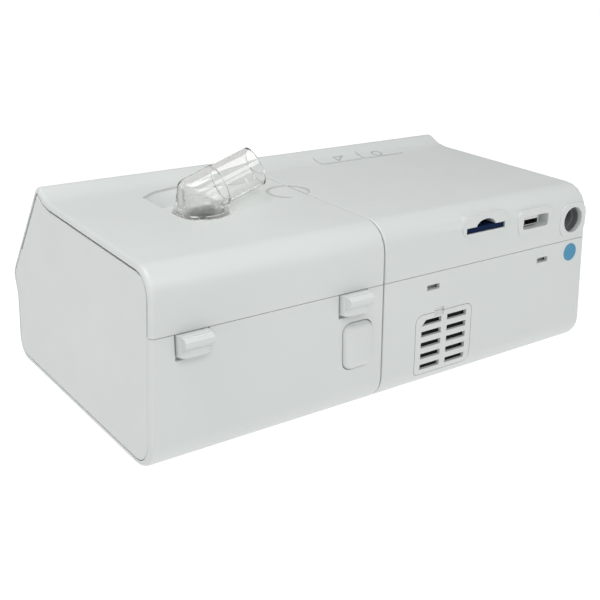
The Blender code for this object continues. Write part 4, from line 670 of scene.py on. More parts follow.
def clear_material(name, colour, roughness, ior=1.57, frost=None):
    """Clear moulded plastic with the slight waviness of its tool, frosted between two heights."""
    material, tree, shader = new_material(
        name, Base_Color=colour, Transmission_Weight=1.0, IOR=ior
    )
    place = object_place(tree)
    wave = add_noise(tree, place, 120.0, 2.0)
    scuff = add_noise(tree, place, 700.0, 4.0)
    rough = add_range(tree, scuff, 0.45, 0.75, roughness, roughness + 0.06)
    if frost:
        frosted = add_range(tree, height_of(tree, place), *frost, 0.36, 0.0)
        rough = add_math(tree, "ADD", rough, frosted)
    set_inputs(tree, shader, Roughness=rough)
    link_bump(tree, shader, wave, look().grain * 3)
    let_lamps_through(tree, shader, tuple(0.70 * part for part in colour))
    return material


def milky_material():
    """The frosted spigot of the elbow."""
    material, tree, shader = new_material(
        "Frosted spigot", Base_Color=(0.96, 0.95, 0.94), Transmission_Weight=0.1, IOR=1.42
    )
    frost = add_noise(tree, object_place(tree), 900.0, 3.0)
    set_inputs(tree, shader, Roughness=add_range(tree, frost, 0.3, 0.7, 0.35, 0.50))
    link_bump(tree, shader, frost, look().grain)
    let_lamps_through(tree, shader, (0.90, 0.90, 0.89))
    return material


def let_lamps_through(tree, shader, colour):
    """Thin clear plastic hardly shades what is behind it."""
    path = tree.nodes.new("ShaderNodeLightPath")
    clear = add_node(tree, "ShaderNodeBsdfTransparent", Color=colour)
    mix = add_node(tree, "ShaderNodeMixShader", Fac=path.outputs["Is Shadow Ray"])
    feed(tree, mix.inputs[1], shader.outputs["BSDF"])
    feed(tree, mix.inputs[2], clear.outputs["BSDF"])
    set_inputs(tree, tree.nodes["Material Output"], Surface=mix.outputs["Shader"])


def foam_material():
    material, tree, shader = new_material("Filter foam", Roughness=0.95)
    cells = place_group(tree, "Foam cells", Cell_size=0.0009)
    # The cell hollows take the darker tone as painted shade in the pores, the walls the lighter
    # one
    dark, light = (0.004, 0.004, 0.005), (0.030, 0.031, 0.033)
    set_inputs(tree, shader, Base_Color=add_mix(tree, cells.outputs["Mask"], dark, light))
    link_bump(tree, shader, cells.outputs["Height"], 0.0004)
    return material


def board_material():
    """Green lacquer over copper tracks."""
    material, tree, shader = new_material("Circuit board", Roughness=0.4)
    bricks = add_node(
        tree, "ShaderNodeTexBrick", Vector=object_place(tree), Scale=260.0, Mortar_Size=0.06,
        Color1=(0.010, 0.120, 0.045), Color2=(0.012, 0.150, 0.055), Mortar=(0.030, 0.230, 0.090),
    )
    set_inputs(tree, shader, Base_Color=bricks.outputs["Color"])
    link_bump(tree, shader, bricks.outputs["Fac"], 0.00003)
    return material


def ink_material(name, colour, roughness=0.5):
    material, tree, shader = new_material(name, Roughness=roughness)
    speck = add_noise(tree, object_place(tree), 2500.0, 3.0)
    lighter = tuple(min(1.0, 1.15 * part) for part in colour)
    set_inputs(tree, shader, Base_Color=add_mix(tree, speck, colour, lighter))
    return material


# CAD nodes


def dress(node, material):
    """Gives a CAD node its finish, with its round faces shaded smooth."""
    item = frame["nodes"][node]
    item.data.materials.clear()
    item.data.materials.append(material)
    item.data.shade_smooth()
    weld = item.modifiers.new("Weld", "WELD")
    weld.merge_threshold = WELD_DISTANCE
    split = item.modifiers.new("Split", "EDGE_SPLIT")
    split.split_angle = SMOOTH_ANGLE
    weigh = item.modifiers.new("Weigh", "WEIGHTED_NORMAL")
    weigh.mode = "FACE_AREA"
    weigh.weight = 100


class CPAP_OT_housings(bpy.types.Operator):
    """White mouldings of the flow generator and the humidifier"""

    bl_idname = "cpap.housings"
    bl_label = "White mouldings"

    def execute(self, context):
        white = white_material("White moulding")
        for node in WHITE_NODES:
            dress(node, white)
        return {"FINISHED"}


class CPAP_OT_clear_parts(bpy.types.Operator):
    """Water tank, tank cover and the two windows"""

    bl_idname = "cpap.clear_parts"
    bl_label = "Clear parts"

    def execute(self, context):
        tank = clear_material("Clear tank", (0.90, 0.94, 0.95), 0.08)
        dress("water_tank", tank)
        dress("tank_cover", tank)
        dress("water_window", clear_material("Clear window", (0.55, 0.62, 0.68), 0.03))
        lens = moulded_material(
            "Black lens", (0.006, 0.006, 0.008), 0.10, 0.0020, 0.20, Coat_Weight=0.6
        )
        dress("display_window", lens)
        return {"FINISHED"}


class CPAP_OT_small_parts(bpy.types.Operator):
    """Knob, card, rubber, metal and grey parts"""

    bl_idname = "cpap.small_parts"
    bl_label = "Small parts"

    def execute(self, context):
        rubber = moulded_material("Rubber", (0.030, 0.030, 0.032), 0.80, 0.0006, 0.25, dust=0.3)
        grey = moulded_material("Grey plastic", (0.22, 0.23, 0.24), 0.50, 0.0004, 0.08)
        black = moulded_material("Black plastic", (0.020, 0.020, 0.022), 0.45, 0.0005, 0.20)
        steel = metal_material("Plated steel", (0.62, 0.63, 0.64), 0.26, 2200.0)
        knob = moulded_material("Knob", look().knob, 0.38, 0.0003, 0.06)
        card = moulded_material(
            "Data card", look().card, 0.45, 0.0003, 0.15, Specular_IOR_Level=0.06
        )
        plate = metal_material("Heater plate", (0.72, 0.73, 0.74), 0.28, 900.0)
        nickel = metal_material("Nickel", (0.95, 0.94, 0.92), 0.55)
        silicone = moulded_material("Silicone", (0.62, 0.62, 0.60), 0.50, 0.0005, 0.06)
        groups = (
            (RUBBER_NODES, rubber),
            (GREY_NODES, grey),
            (BLACK_NODES, black),
            (STEEL_NODES, steel),
            (BOARD_NODES, board_material()),
            (("control_knob",), knob),
            (("data_card",), card),
            (("heater_plate",), plate),
            (("power_pin",), nickel),
            (("tank_seal",), silicone),
        )
        for nodes, material in groups:
            for node in nodes:
                dress(node, material)
        return {"FINISHED"}


class CPAP_OT_elbow(bpy.types.Operator):
    """Clear outlet elbow with its ring, spigot, rounded knee and shoulder"""

    bl_idname = "cpap.elbow"
    bl_label = "Clear elbow"

    def execute(self, context):
        shape = bmesh.new()
        join_rows(shape, [[shape.verts.new(point) for point in row] for row in elbow_rows()])
        low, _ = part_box("outlet_elbow")
        ring_z = low.z + elbow_sizes().spigot_length
        for face in shape.faces:
            if max(vertex.co.z for vertex in face.verts) < ring_z + MILLIMETRE / 100:
                face.material_index = 1
        frost = (ring_z + MILLIMETRE * 4, ring_z + MILLIMETRE * 9)
        clear = clear_material("Clear elbow", (0.975, 0.975, 0.965), 0.0, 1.42, frost)
        made = add_shape("clear_elbow", shape, "elbow", clear)
        made.data.materials.append(milky_material())
        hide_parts("outlet_elbow")
        return {"FINISHED"}


def elbow_rows():
    """Rows of points from the spigot's foot up outside to the mouth, and back down inside."""
    elbow = elbow_sizes()
    low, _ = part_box("outlet_elbow")
    seal_low, seal_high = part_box("elbow_seal")
    ring_z = low.z + elbow.spigot_length
    ring_top = ring_z + elbow.ring_thickness
    edge = MILLIMETRE * 0.3
    step = elbow.shoulder
    wide = elbow.tube + MILLIMETRE / 2
    narrow = elbow.bore - MILLIMETRE * 0.4
    groove = elbow.spigot - MILLIMETRE * 0.8
    levels = (
        (low.z, elbow.spigot - edge),
        (low.z + edge, elbow.spigot),
        (seal_low.z - edge, elbow.spigot),
        (seal_low.z - edge, groove),
        (seal_high.z + edge, groove),
        (seal_high.z + edge, elbow.spigot),
        (ring_z, elbow.spigot),
    )
    rows = [level_row(height, radius) for height, radius in levels]
    rows += [notched_row(ring_z, elbow.ring - edge), notched_row(ring_z + edge, elbow.ring)]
    rows += [notched_row(ring_top - edge, elbow.ring), notched_row(ring_top, elbow.ring - edge)]
    knee, shoulder = mitre_row(wide), tube_row(step, wide)
    collar = raise_row(level_row((ring_z + ring_top) / 2, elbow.collar), knee, ring_top)
    rows += [collar, *bend(collar, knee, shoulder), shoulder, tube_row(step + edge, elbow.tube)]
    rows += [tube_row(elbow.reach - edge, elbow.tube), tube_row(elbow.reach, elbow.tube - edge)]
    rows += [tube_row(elbow.reach, elbow.bore + edge), tube_row(elbow.reach - edge, elbow.bore)]
    mouth, knee = tube_row(step, narrow), mitre_row(narrow)
    down = level_row(low.z + edge, elbow.spigot_bore)
    rows += [tube_row(step + edge, elbow.bore), mouth, *bend(mouth, knee, down)]
    rows += [raise_row(down, knee, ring_z), down]
    return rows + [level_row(low.z, elbow.spigot_bore + edge)]


ElbowAxes = namedtuple("ElbowAxes", "knee run across over back")


def elbow_axes():
    """The knee, and the directions along, across and over the tube and out at its back."""
    elbow = elbow_sizes()
    level = Vector((math.cos(elbow.turn), math.sin(elbow.turn), 0))
    run = level * math.cos(elbow.rise) + UP * math.sin(elbow.rise)
    over = UP * math.cos(elbow.rise) - level * math.sin(elbow.rise)
    axis = Vector(joint_of("elbow_swivel")["pos_m"])
    low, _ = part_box("outlet_elbow")
    knee = Vector((axis.x, axis.y, low.z + elbow.spigot_length + elbow.knee))
    return ElbowAxes(knee, run, UP.cross(level), over, -level)


def spokes(over, radius):
    across = elbow_axes().across
    return [across * x + over * y for x, y in circle(radius, elbow_sizes().sides)]


def level_row(height, radius):
    axes = elbow_axes()
    middle = Vector((*axes.knee.xy, height))
    return [middle + spoke for spoke in spokes(axes.back, radius)]


def notched_row(height, radius):
    """A row round the ring, drawn in at the notches that a finger or a key turns it by."""
    elbow = elbow_sizes()
    middle = Vector((*elbow_axes().knee.xy, height))
    row = []
    for point in level_row(height, radius):
        spoke = point - middle
        angle = math.atan2(spoke.y, spoke.x)
        for notch in NOTCH_ANGLES:
            away = (angle - math.radians(notch) + math.pi) % math.tau - math.pi
            if abs(away) * elbow.ring < elbow.notch / 2:
                spoke *= (elbow.collar - MILLIMETRE * 0.6) / spoke.length
        row.append(middle + spoke)
    return row


def tube_row(distance, radius):
    axes = elbow_axes()
    return [axes.knee + axes.run * distance + spoke for spoke in spokes(axes.over, radius)]


def mitre_row(radius):
    """Where the tube meets the plane that halves the bend."""
    axes = elbow_axes()
    halving = (axes.run + UP).normalized()
    row = []
    for spoke in spokes(axes.over, radius):
        back = spoke.dot(halving) / axes.run.dot(halving)
        row.append(axes.knee + spoke - axes.run * back)
    return row


def raise_row(foot, end, height):
    """The points at a height on the lines from one row to another."""
    row = []
    for low, high in zip(foot, end):
        row.append(low + (high - low) * ((height - low.z) / (high.z - low.z)))
    return row


def bend(before, corner, after, steps=6):
    """Rows that round a corner row between the rows before and after it."""
    reach = MILLIMETRE * 3
    rows = [[] for _ in range(steps + 1)]
    for first, middle, last in zip(before, corner, after):
        start = middle + shorten(first - middle, reach)
        end = middle + shorten(last - middle, reach)
        for index, row in enumerate(rows):
            share = index / steps
            row.append(start.lerp(middle, share).lerp(middle.lerp(end, share), share))
    return rows


def shorten(way, reach):
    return way * min(0.45, reach / way.length)


class CPAP_OT_channel(bpy.types.Operator):
    """Slope at the far end of the outlet's channel, with a darker ring on it as the painted shade
    of a shallow round dish's edge
    """

    bl_idname = "cpap.channel"
    bl_label = "Channel end"

    def execute(self, context):
        white = white_material("Trim white")
        # A darker copy of the housing colour, painted as the shade at the dish's edge
        shade = ink_material("Dish edge", tuple(0.66 * part for part in look().housing))
        seam_low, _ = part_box("humidifier_lid")
        _, main_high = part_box("main_upper_housing")
        spans = (
            ("lid_channel", "humidifier_lid", "lid", seam_low.x, SLOPE_FOOT_X),
            ("main_channel", "main_upper_housing", "machine", MAIN_CHANNEL_X, main_high.x),
        )
        for name, node, body, start, end in spans:
            add_shape(name, channel_shape(node, start, end), body, white)
            add_shape(name + "_dish", dish_shade_shape(start, end), body, shade)
        return {"FINISHED"}


def channel_height(x, y):
    """Follows the tilted top just under its skin, and falls to the channel's floor."""
    skin = SKIN_Z + (SKIN_Y - y) * TOP_SLOPE - CHANNEL_SINK
    share = min(1.0, max(0.0, (x - SLOPE_TOP_X) / (SLOPE_FOOT_X - SLOPE_TOP_X)))
    return skin + (CHANNEL_FLOOR_Z - skin) * share * share * (3 - 2 * share)


def channel_shape(node, start, end, steps=44, across=10):
    """A closed skin between the channel's walls, whose edges are buried in them."""
    walls = skin_of(node)
    shape = bmesh.new()
    tops, lows = [], []
    for step in range(steps + 1):
        x = start + (end - start) * step / steps
        middle = CHANNEL_MIDDLE_Y + max(0.0, CHANNEL_BEND_X - x) * CHANNEL_BEND
        within = min(end - MILLIMETRE / 2, max(start + MILLIMETRE * 0.8, x))
        origin = Vector((within, middle, channel_height(x, middle)))
        edges = []
        for side in (-1, 1):
            level = Vector((0, side, -side * TOP_SLOPE)).normalized()
            hit, _, _, _ = walls.ray_cast(origin, level, CHANNEL_REACH)
            if hit is None:
                raise RuntimeError(f"The channel has no wall at x {x}")
            edges.append(hit.y + side * MILLIMETRE * 0.3)
        ys = [edges[0] + (edges[1] - edges[0]) * index / across for index in range(across + 1)]
        for line, drop in ((tops, 0), (lows, MILLIMETRE)):
            line.append([shape.verts.new((x, y, channel_height(x, y) - drop)) for y in ys])
    close_slab(shape, tops, lows)
    return shape


def join_lines(shape, first, second):
    """Faces between two open lines of as many vertices."""
    for index in range(len(first) - 1):
        shape.faces.new((first[index], first[index + 1], second[index + 1], second[index]))


def close_slab(shape, tops, lows):
    """Faces over two grids of the same size and round their rim."""
    for grid in (tops, lows):
        for near, far in zip(grid, grid[1:]):
            join_lines(shape, near, far)
    for place in (0, -1):
        join_lines(shape, tops[place], lows[place])
        join_lines(shape, [row[place] for row in tops], [row[place] for row in lows])


def dish_shade_shape(start, end):
    """The part of the dish's round edge, a darker ring of painted shade, that lies between two
    places along the machine.
    """
    outer = fittings().dish
    inner = outer - fittings().dish_shade_width
    depth = marks().print_depth
    margin = MILLIMETRE / 2
    angles = [math.tau * step / DISH_STEPS for step in range(DISH_STEPS)]
    inside = [start + margin < DISH_X + outer * math.cos(angle) < end - margin for angle in angles]
    first = next(step for step in range(DISH_STEPS) if inside[step] and not inside[step - 1])
    shape = bmesh.new()
    rows = []
    for angle in (angles + angles)[first:first + sum(inside)]:
        row = []
        for radius, lift in ((outer, -depth), (outer, depth), (inner, depth), (inner, -depth)):
            x = DISH_X + radius * math.cos(angle)
            y = DISH_Y + radius * math.sin(angle)
            row.append(shape.verts.new((x, y, channel_height(x, y) + lift)))
        rows.append(row)
    join_rows(shape, rows, closed=False)
    shape.faces.new(rows[0])
    shape.faces.new(rows[-1])
    return shape


class CPAP_OT_power_sleeve(bpy.types.Operator):
    """Grey sleeve that lines the power socket"""

    bl_idname = "cpap.power_sleeve"
    bl_label = "Power sleeve"

    def execute(self, context):
        grey = moulded_material("Socket grey", (0.17, 0.175, 0.18), 0.40, 0.0004, 0.08)
        middle = node_middle("power_pin")
        _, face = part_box("power_inlet")
        outer = fittings().sleeve
        loops = [circle(radius, 64) for radius in (outer, outer - MILLIMETRE * 0.4)]
        shape = bmesh.new()
        add_band(shape, *loops, 0, fittings().sleeve_length)
        place = rear_matrix(middle.x, face.y, middle.z)
        add_shape("power_sleeve", shape, "machine", grey, place)
        return {"FINISHED"}


class CPAP_OT_foam(bpy.types.Operator):
    """Foam of the air filter and of the silencer"""

    bl_idname = "cpap.foam"
    bl_label = "Foam"

    def execute(self, context):
        foam = foam_material()
        for node, name in FOAM_NODES.items():
            low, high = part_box(node)
            shape = bmesh.new()
            bmesh.ops.create_cube(shape, size=1)
            bmesh.ops.scale(shape, vec=high - low, verts=shape.verts)
            bmesh.ops.bevel(
                shape, geom=list(shape.edges), offset=min(high - low) * 0.18,
                segments=3, profile=0.5, affect="EDGES",
            )
            place = Matrix.Translation((low + high) / 2)
            made = add_shape(name, shape, "machine", foam, place)
            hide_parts(node)
        return {"FINISHED"}


class CPAP_OT_key_lips(bpy.types.Operator):
    """Lip of the housing round each key, just under its skin"""

    bl_idname = "cpap.key_lips"
    bl_label = "Key lips"

    def execute(self, context):
        for node in ("ramp_key", "mode_key"):
            low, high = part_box(node)
            size = high - low
            loops = []
            for border in (MILLIMETRE * 0.55, MILLIMETRE * 0.07):
                loops.append(
                    rounded(size.x + 2 * border, size.y + 2 * border, MILLIMETRE * 2 + border)
                )
            shape = lip_shape((low + high) / 2, *loops)
            add_shape(node + "_lip", shape, "machine", white_material("Trim white"))
        return {"FINISHED"}


def lip_shape(middle, outer, inner):
    """A closed band between two outlines that follows the housing's skin a little under it."""
    skin = skin_of("main_upper_housing")
    top, foot = MILLIMETRE * 0.12, MILLIMETRE * 0.72
    shape = bmesh.new()
    columns = []
    for far, near in zip(outer, inner):
        start = Vector((middle.x + far[0], middle.y + far[1], CAD_HIGH.z))
        hit, _, _, _ = skin.ray_cast(start, -UP)
        column = []
        for spot, drop in ((far, top), (near, top), (near, foot), (far, foot)):
            place = (middle.x + spot[0], middle.y + spot[1], hit.z - drop)
            column.append(shape.verts.new(place))
        columns.append(column)
    join_rows(shape, columns)
    return shape


def rounded(width, height, radius, steps=5, along=12):
    """A rounded rectangle round the origin, with points along its long sides."""
    points = []
    for side_x, side_y, start in ((1, 1, 0), (-1, 1, 90), (-1, -1, 180), (1, -1, 270)):
        middle_x, middle_y = side_x * (width / 2 - radius), side_y * (height / 2 - radius)
        for step in range(steps + 1):
            angle = math.radians(start + 90 * step / steps)
            x, y = middle_x + radius * math.cos(angle), middle_y + radius * math.sin(angle)
            points.append((x, y))
    full = []
    for first, last in zip(points, points[1:] + points[:1]):
        count = along if math.dist(first, last) > radius else 1
        for step in range(count):
            x, y = (near + (far - near) * step / count for near, far in zip(first, last))
            full.append((x, y))
    return full


class CPAP_OT_key_marks(bpy.types.Operator):
    """Ramp and ring on the two top keys"""

    bl_idname = "cpap.key_marks"
    bl_label = "Key marks"

    def execute(self, context):
        ink = ink_material("Key ink", look().ink)
        size, line, depth = marks().icon_size, marks().line, marks().print_depth
        # Key, body, outlines, and the shift along X in icon sizes
        icons = (
            ("ramp_key", "ramp", ramp(size, 0), ramp(size, line), -0.25),
            ("mode_key", "mode", circle(size / 2), circle(size / 2 - line), 0.4),
        )
        for node, body, outer, inner, shift in icons:
            middle = node_middle(node)
            shape = bmesh.new()
            add_band(shape, outer, inner, 0, depth)
            subdivide(shape)
            place = Matrix.Translation((middle.x + size * shift, middle.y + size * 0.16, 0))
            mesh = mesh_from(node + "_mark", shape, place)
            settle(mesh, node)
            add_piece(node + "_mark", mesh, body, ink)
        return {"FINISHED"}


def ramp(size, inset):
    """A ramp that rises to the right of someone in front, drawn inset from its outline."""
    width, depth = size * 1.15, size
    slant = math.hypot(width, depth)
    left = -width / 2 + inset * (width + slant) / depth
    right = width / 2 - inset
    front = -depth / 2 + inset
    rear = depth / 2 - inset * (depth + slant) / width
    return [(left, front), (right, front), (right, rear)]


def subdivide(shape):
    long_edges = [edge for edge in shape.edges if edge.calc_length() > marks().line]
    bmesh.ops.subdivide_edges(shape, edges=long_edges, cuts=4, use_grid_fill=True)


def settle(mesh, node):
    """Drops a flat print onto the node under it, and keeps its thickness."""
    skin = skin_of(node)
    depth = marks().print_depth
    for vertex in mesh.vertices:
        hit, _, _, _ = skin.ray_cast(Vector((vertex.co.x, vertex.co.y, CAD_HIGH.z)), -UP)
        if hit is None:
            raise RuntimeError(f"{mesh.name} reaches past {node}")
        vertex.co.z = hit.z + (depth if vertex.co.z > depth / 2 else -depth)


class CPAP_OT_sticker(bpy.types.Operator):
    """Round blue sticker on the rear of the flow generator"""

    bl_idname = "cpap.sticker"
    bl_label = "Round sticker"

    def execute(self, context):
        _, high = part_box("main_lower_housing")
        shape = bmesh.new()
        add_prism(shape, circle(marks().sticker), 0, marks().print_depth * 2)
        blue = ink_material("Sticker blue", look().sticker, 0.35)
        place = rear_matrix(STICKER_X, high.y, STICKER_Z)
        add_shape("round_sticker", shape, "machine", blue, place)
        return {"FINISHED"}


class CPAP_OT_slot_backs(bpy.types.Operator):
    """Plates that close the two hook slots behind the wall"""

    bl_idname = "cpap.slot_backs"
    bl_label = "Slot backs"

    def execute(self, context):
        _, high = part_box("main_lower_housing")
        white = white_material("Trim white")
        outline = rounded(SLOT_WIDTH, SLOT_HEIGHT, MILLIMETRE)
        for index, x in enumerate(SLOT_XS, start=1):
            shape = bmesh.new()
            add_prism(shape, outline, -SLOT_DEPTH - MILLIMETRE, -SLOT_DEPTH)
            place = rear_matrix(x, high.y, SLOT_Z)
            add_shape(f"slot_back_{index}", shape, "machine", white, place)
        return {"FINISHED"}


# Geometry node trees for what repeats


def new_tree(name, inputs):
    """A geometry tree with named inputs. Returns it with its two end nodes."""
    tree = bpy.data.node_groups.new(name, "GeometryNodeTree")
    kinds = {int: "NodeSocketInt", float: "NodeSocketFloat", Vector: "NodeSocketVector"}
    for label, value in inputs.items():
        kind = kinds.get(type(value), "NodeSocketMaterial")
        socket = tree.interface.new_socket(label, in_out="INPUT", socket_type=kind)
        if kind != "NodeSocketMaterial":
            socket.default_value = value
    tree.interface.new_socket("Geometry", in_out="OUTPUT", socket_type="NodeSocketGeometry")
    return tree, tree.nodes.new("NodeGroupInput"), tree.nodes.new("NodeGroupOutput")


def end_tree(tree, start, end, points, block):
    """Puts a copy of the block on each point, and gives the real copies their material."""
    copies = add_node(
        tree, "GeometryNodeInstanceOnPoints",
        Points=points.outputs["Mesh"], Instance=block.outputs["Mesh"],
    )
    real = add_node(tree, "GeometryNodeRealizeInstances", Geometry=copies.outputs["Instances"])
    paint = add_node(
        tree, "GeometryNodeSetMaterial",
        Geometry=real.outputs["Geometry"], Material=start.outputs["Material"],
    )
    set_inputs(tree, end, Geometry=paint.outputs["Geometry"])


def row_tree():
    """Blocks of one size in a row along X, from the middle outwards."""
    size = Vector((0.001, 0.008, 0.0002))
    values = {"Count": 4, "Pitch": 0.0025, "Size": size, "Material": None}
    tree, start, end = new_tree("Row of blocks", values)
    count, pitch = start.outputs["Count"], start.outputs["Pitch"]
    shift = add_math(tree, "MULTIPLY", add_math(tree, "MULTIPLY_ADD", count, -0.5, 0.5), pitch)
    begin = add_node(tree, "ShaderNodeCombineXYZ", X=shift)
    step = add_node(tree, "ShaderNodeCombineXYZ", X=pitch)
    line = add_node(
        tree, "GeometryNodeMeshLine",
        Count=count, Start_Location=begin.outputs[0], Offset=step.outputs[0],
    )
    block = add_node(tree, "GeometryNodeMeshCube", Size=start.outputs["Size"])
    end_tree(tree, start, end, line, block)
    return tree


def screw_tree():
    """Round heads with a cross recess on their lower side, at the corners of a rectangle."""
    values = {"Along": 0.09, "Across": 0.12, "Radius": 0.003, "Height": 0.001, "Material": None}
    tree, start, end = new_tree("Four screws", values)
    radius, height = start.outputs["Radius"], start.outputs["Height"]
    grid = add_node(
        tree, "GeometryNodeMeshGrid", Vertices_X=2, Vertices_Y=2,
        Size_X=start.outputs["Along"], Size_Y=start.outputs["Across"],
    )
    head = add_node(tree, "GeometryNodeMeshCylinder", Vertices=24, Radius=radius, Depth=height)
    cut = tree.nodes.new("GeometryNodeMeshBoolean")
    cut.operation = "DIFFERENCE"
    feed(tree, cut.inputs[0], head.outputs["Mesh"])
    for share_x, share_y in ((1.2, 0.3), (0.3, 1.2)):
        feed(tree, cut.inputs[1], recess_bar(tree, radius, height, share_x, share_y))
    end_tree(tree, start, end, grid, cut)
    return tree


def recess_bar(tree, radius, height, share_x, share_y):
    """One of the two bars of the cross recess, on the lower face of the head."""
    width, depth = (add_math(tree, "MULTIPLY", radius, share) for share in (share_x, share_y))
    size = add_node(tree, "ShaderNodeCombineXYZ", X=width, Y=depth, Z=height)
    bar = add_node(tree, "GeometryNodeMeshCube", Size=size.outputs[0])
    down = add_node(tree, "ShaderNodeCombineXYZ", Z=add_math(tree, "MULTIPLY", height, -0.4))
    sunk = add_node(
        tree, "GeometryNodeTransform", Geometry=bar.outputs["Mesh"], Translation=down.outputs[0]
    )
    return sunk.outputs["Geometry"]


TREE_BUILDERS = {"Row of blocks": row_tree, "Four screws": screw_tree}


def grow(name, kind, values, body, material, matrix):
    """Evaluates a geometry tree with its values, as a plain mesh piece at the matrix."""
    tree = bpy.data.node_groups.get(kind) or TREE_BUILDERS[kind]()
    blank = bpy.data.meshes.new(name + "_holder")
    holder = add_object(name + "_holder", blank)
    modifier = holder.modifiers.new("Tree", "NODES")
    modifier.node_group = tree
    identifiers = {
        item.name: item.identifier
        for item in tree.interface.items_tree
        if item.item_type == "SOCKET" and item.in_out == "INPUT"
    }
    for label, value in values.items():
        modifier[identifiers[label]] = value
    modifier[identifiers["Material"]] = material
    bpy.context.view_layer.update()
    depsgraph = bpy.context.evaluated_depsgraph_get()
    mesh = bpy.data.meshes.new_from_object(holder.evaluated_get(depsgraph), depsgraph=depsgraph)
    holder.modifiers.remove(modifier)
    bpy.data.objects.remove(holder)
    bpy.data.meshes.remove(blank)
    mesh.name = name
    mesh.transform(matrix)
    return add_piece(name, mesh, body, material)


class CPAP_OT_data_contacts(bpy.types.Operator):
    """Tongue and gold contacts in the data port"""

    bl_idname = "cpap.data_contacts"
    bl_label = "Data contacts"

    def execute(self, context):
        low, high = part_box("data_port")
        middle = (low + high) / 2
        width, depth = (high.x - low.x) * 0.80, high.y - low.y
        top = high.z - MILLIMETRE * 1.2
        foot = top - MILLIMETRE * 1.6
        shape = bmesh.new()
        outline = rectangle(width, depth * 0.80, -depth * 0.06)
        add_prism(shape, outline, foot - middle.z, top - middle.z)
        dark = moulded_material("Port tongue", (0.11, 0.11, 0.115), 0.5)
        add_shape("data_tongue", shape, "machine", dark, Matrix.Translation(middle))
        gold = metal_material("Gold contacts", (0.83, 0.60, 0.25), 0.25)
        values = {
            "Count": fittings().contacts,
            "Pitch": width / 4.6,
            "Size": Vector((0.0010, depth * 0.55, 0.0002)),
        }
        under = Matrix.Translation((middle.x, middle.y, foot - MILLIMETRE / 10))
        grow("data_contacts", "Row of blocks", values, "machine", gold, under)
        return {"FINISHED"}


class CPAP_OT_knob_index(bpy.types.Operator):
    """Index line on the top of the knob"""

    bl_idname = "cpap.knob_index"
    bl_label = "Knob index"

    def execute(self, context):
        place = knob_matrix()
        back = place.inverted()
        knob = frame["nodes"]["control_knob"].data
        top = max((back @ vertex.co).z for vertex in knob.vertices)
        shape = bmesh.new()
        line = rectangle(marks().line, MILLIMETRE * 4.8, MILLIMETRE * 8.8)
        add_prism(shape, line, top - MILLIMETRE / 20, top + marks().print_depth)
        add_shape("knob_index", shape, "knob", ink_material("Knob ink", (0.85, 0.86, 0.86)), place)
        return {"FINISHED"}


class CPAP_OT_screws(bpy.types.Operator):
    """Cross head screws under both halves"""

    bl_idname = "cpap.screws"
    bl_label = "Screws"

    def execute(self, context):
        steel = metal_material("Zinc plated steel", (0.60, 0.60, 0.58), 0.32, 1800.0)
        height = fittings().screw_height
        for node, name in (("main_lower_housing", "main"), ("humidifier_base", "humidifier")):
            low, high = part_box(node)
            values = {
                "Along": (high.x - low.x) * 0.58,
                "Across": (high.y - low.y) * 0.78,
                "Radius": fittings().screw,
                "Height": height,
            }
            middle = (low + high) / 2
            place = Matrix.Translation((middle.x, middle.y, low.z - height / 2))
            grow(name + "_screws", "Four screws", values, "machine", steel, place)
        return {"FINISHED"}


class CPAP_OT_level_marks(bpy.types.Operator):
    """Lines for the water level on the front of the tank"""

    bl_idname = "cpap.level_marks"
    bl_label = "Level marks"

    def execute(self, context):
        low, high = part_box("water_tank")
        middle = (low + high) / 2
        count = fittings().level_marks
        values = {
            "Count": count,
            "Pitch": (high.z - low.z) * 0.70 / count,
            "Size": Vector((0.0008, 0.0160, 0.0002)),
        }
        turn = Matrix(((0, 1, 0), (0, 0, 1), (1, 0, 0))).to_4x4()
        place = Matrix.Translation((middle.x, low.y, middle.z)) @ turn
        ink = ink_material("Level ink", (0.05, 0.18, 0.42))
        grow("level_marks", "Row of blocks", values, "machine", ink, place)
        return {"FINISHED"}


class CPAP_OT_board_parts(bpy.types.Operator):
    """Chips and plug pins on the two boards"""

    bl_idname = "cpap.board_parts"
    bl_label = "Board parts"

    def execute(self, context):
        black = moulded_material("Chip resin", (0.012, 0.012, 0.013), 0.55, 0.0002, 0.10)
        tin = metal_material("Tinned pins", (0.70, 0.70, 0.68), 0.30)
        # Piece, board, its place across the board, count, pitch and size
        rows = (
            ("circuit_chips", "circuit_board", 0.5, 4, 0.0270, (0.0120, 0.0120, 0.0016), black),
            ("circuit_pins", "circuit_board", 0.1, 16, 0.0025, (0.0006, 0.0006, 0.0060), tin),
            ("port_chips", "io_board", 0.16, 3, 0.0150, (0.0060, 0.0050, 0.0012), black),
        )
        for name, board, share, count, pitch, size, material in rows:
            low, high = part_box(board)
            values = {"Count": count, "Pitch": pitch, "Size": Vector(size)}
            y = low.y + (high.y - low.y) * share
            place = Matrix.Translation(((low.x + high.x) / 2, y, high.z + size[2] / 2))
            grow(name, "Row of blocks", values, "machine", material, place)
        return {"FINISHED"}


class CPAP_OT_stage(bpy.types.Operator):
    """Pale floor, soft light and the camera"""

    bl_idname = "cpap.stage"
    bl_label = "Stage"

    def execute(self, context):
        add_floor()
        add_lights()
        add_camera()
        context.scene.view_settings.view_transform = "Standard"
        return {"FINISHED"}


def add_floor():
    shape = bmesh.new()
    bmesh.ops.create_grid(shape, x_segments=8, y_segments=8, size=FLOOR_SIZE)
    mesh = mesh_from("floor", shape)
    glow = stage_values().floor_glow
    material, tree, shader = new_material(
        "Pale floor", Roughness=0.9, Emission_Color=(1, 1, 1), Emission_Strength=glow
    )
    tone = add_noise(tree, object_place(tree), 3.0)
    pale = add_mix(tree, tone, (0.15, 0.15, 0.15), (0.17, 0.17, 0.17))
    set_inputs(tree, shader, Base_Color=pale)
    mesh.materials.append(material)
    add_object("floor", mesh)


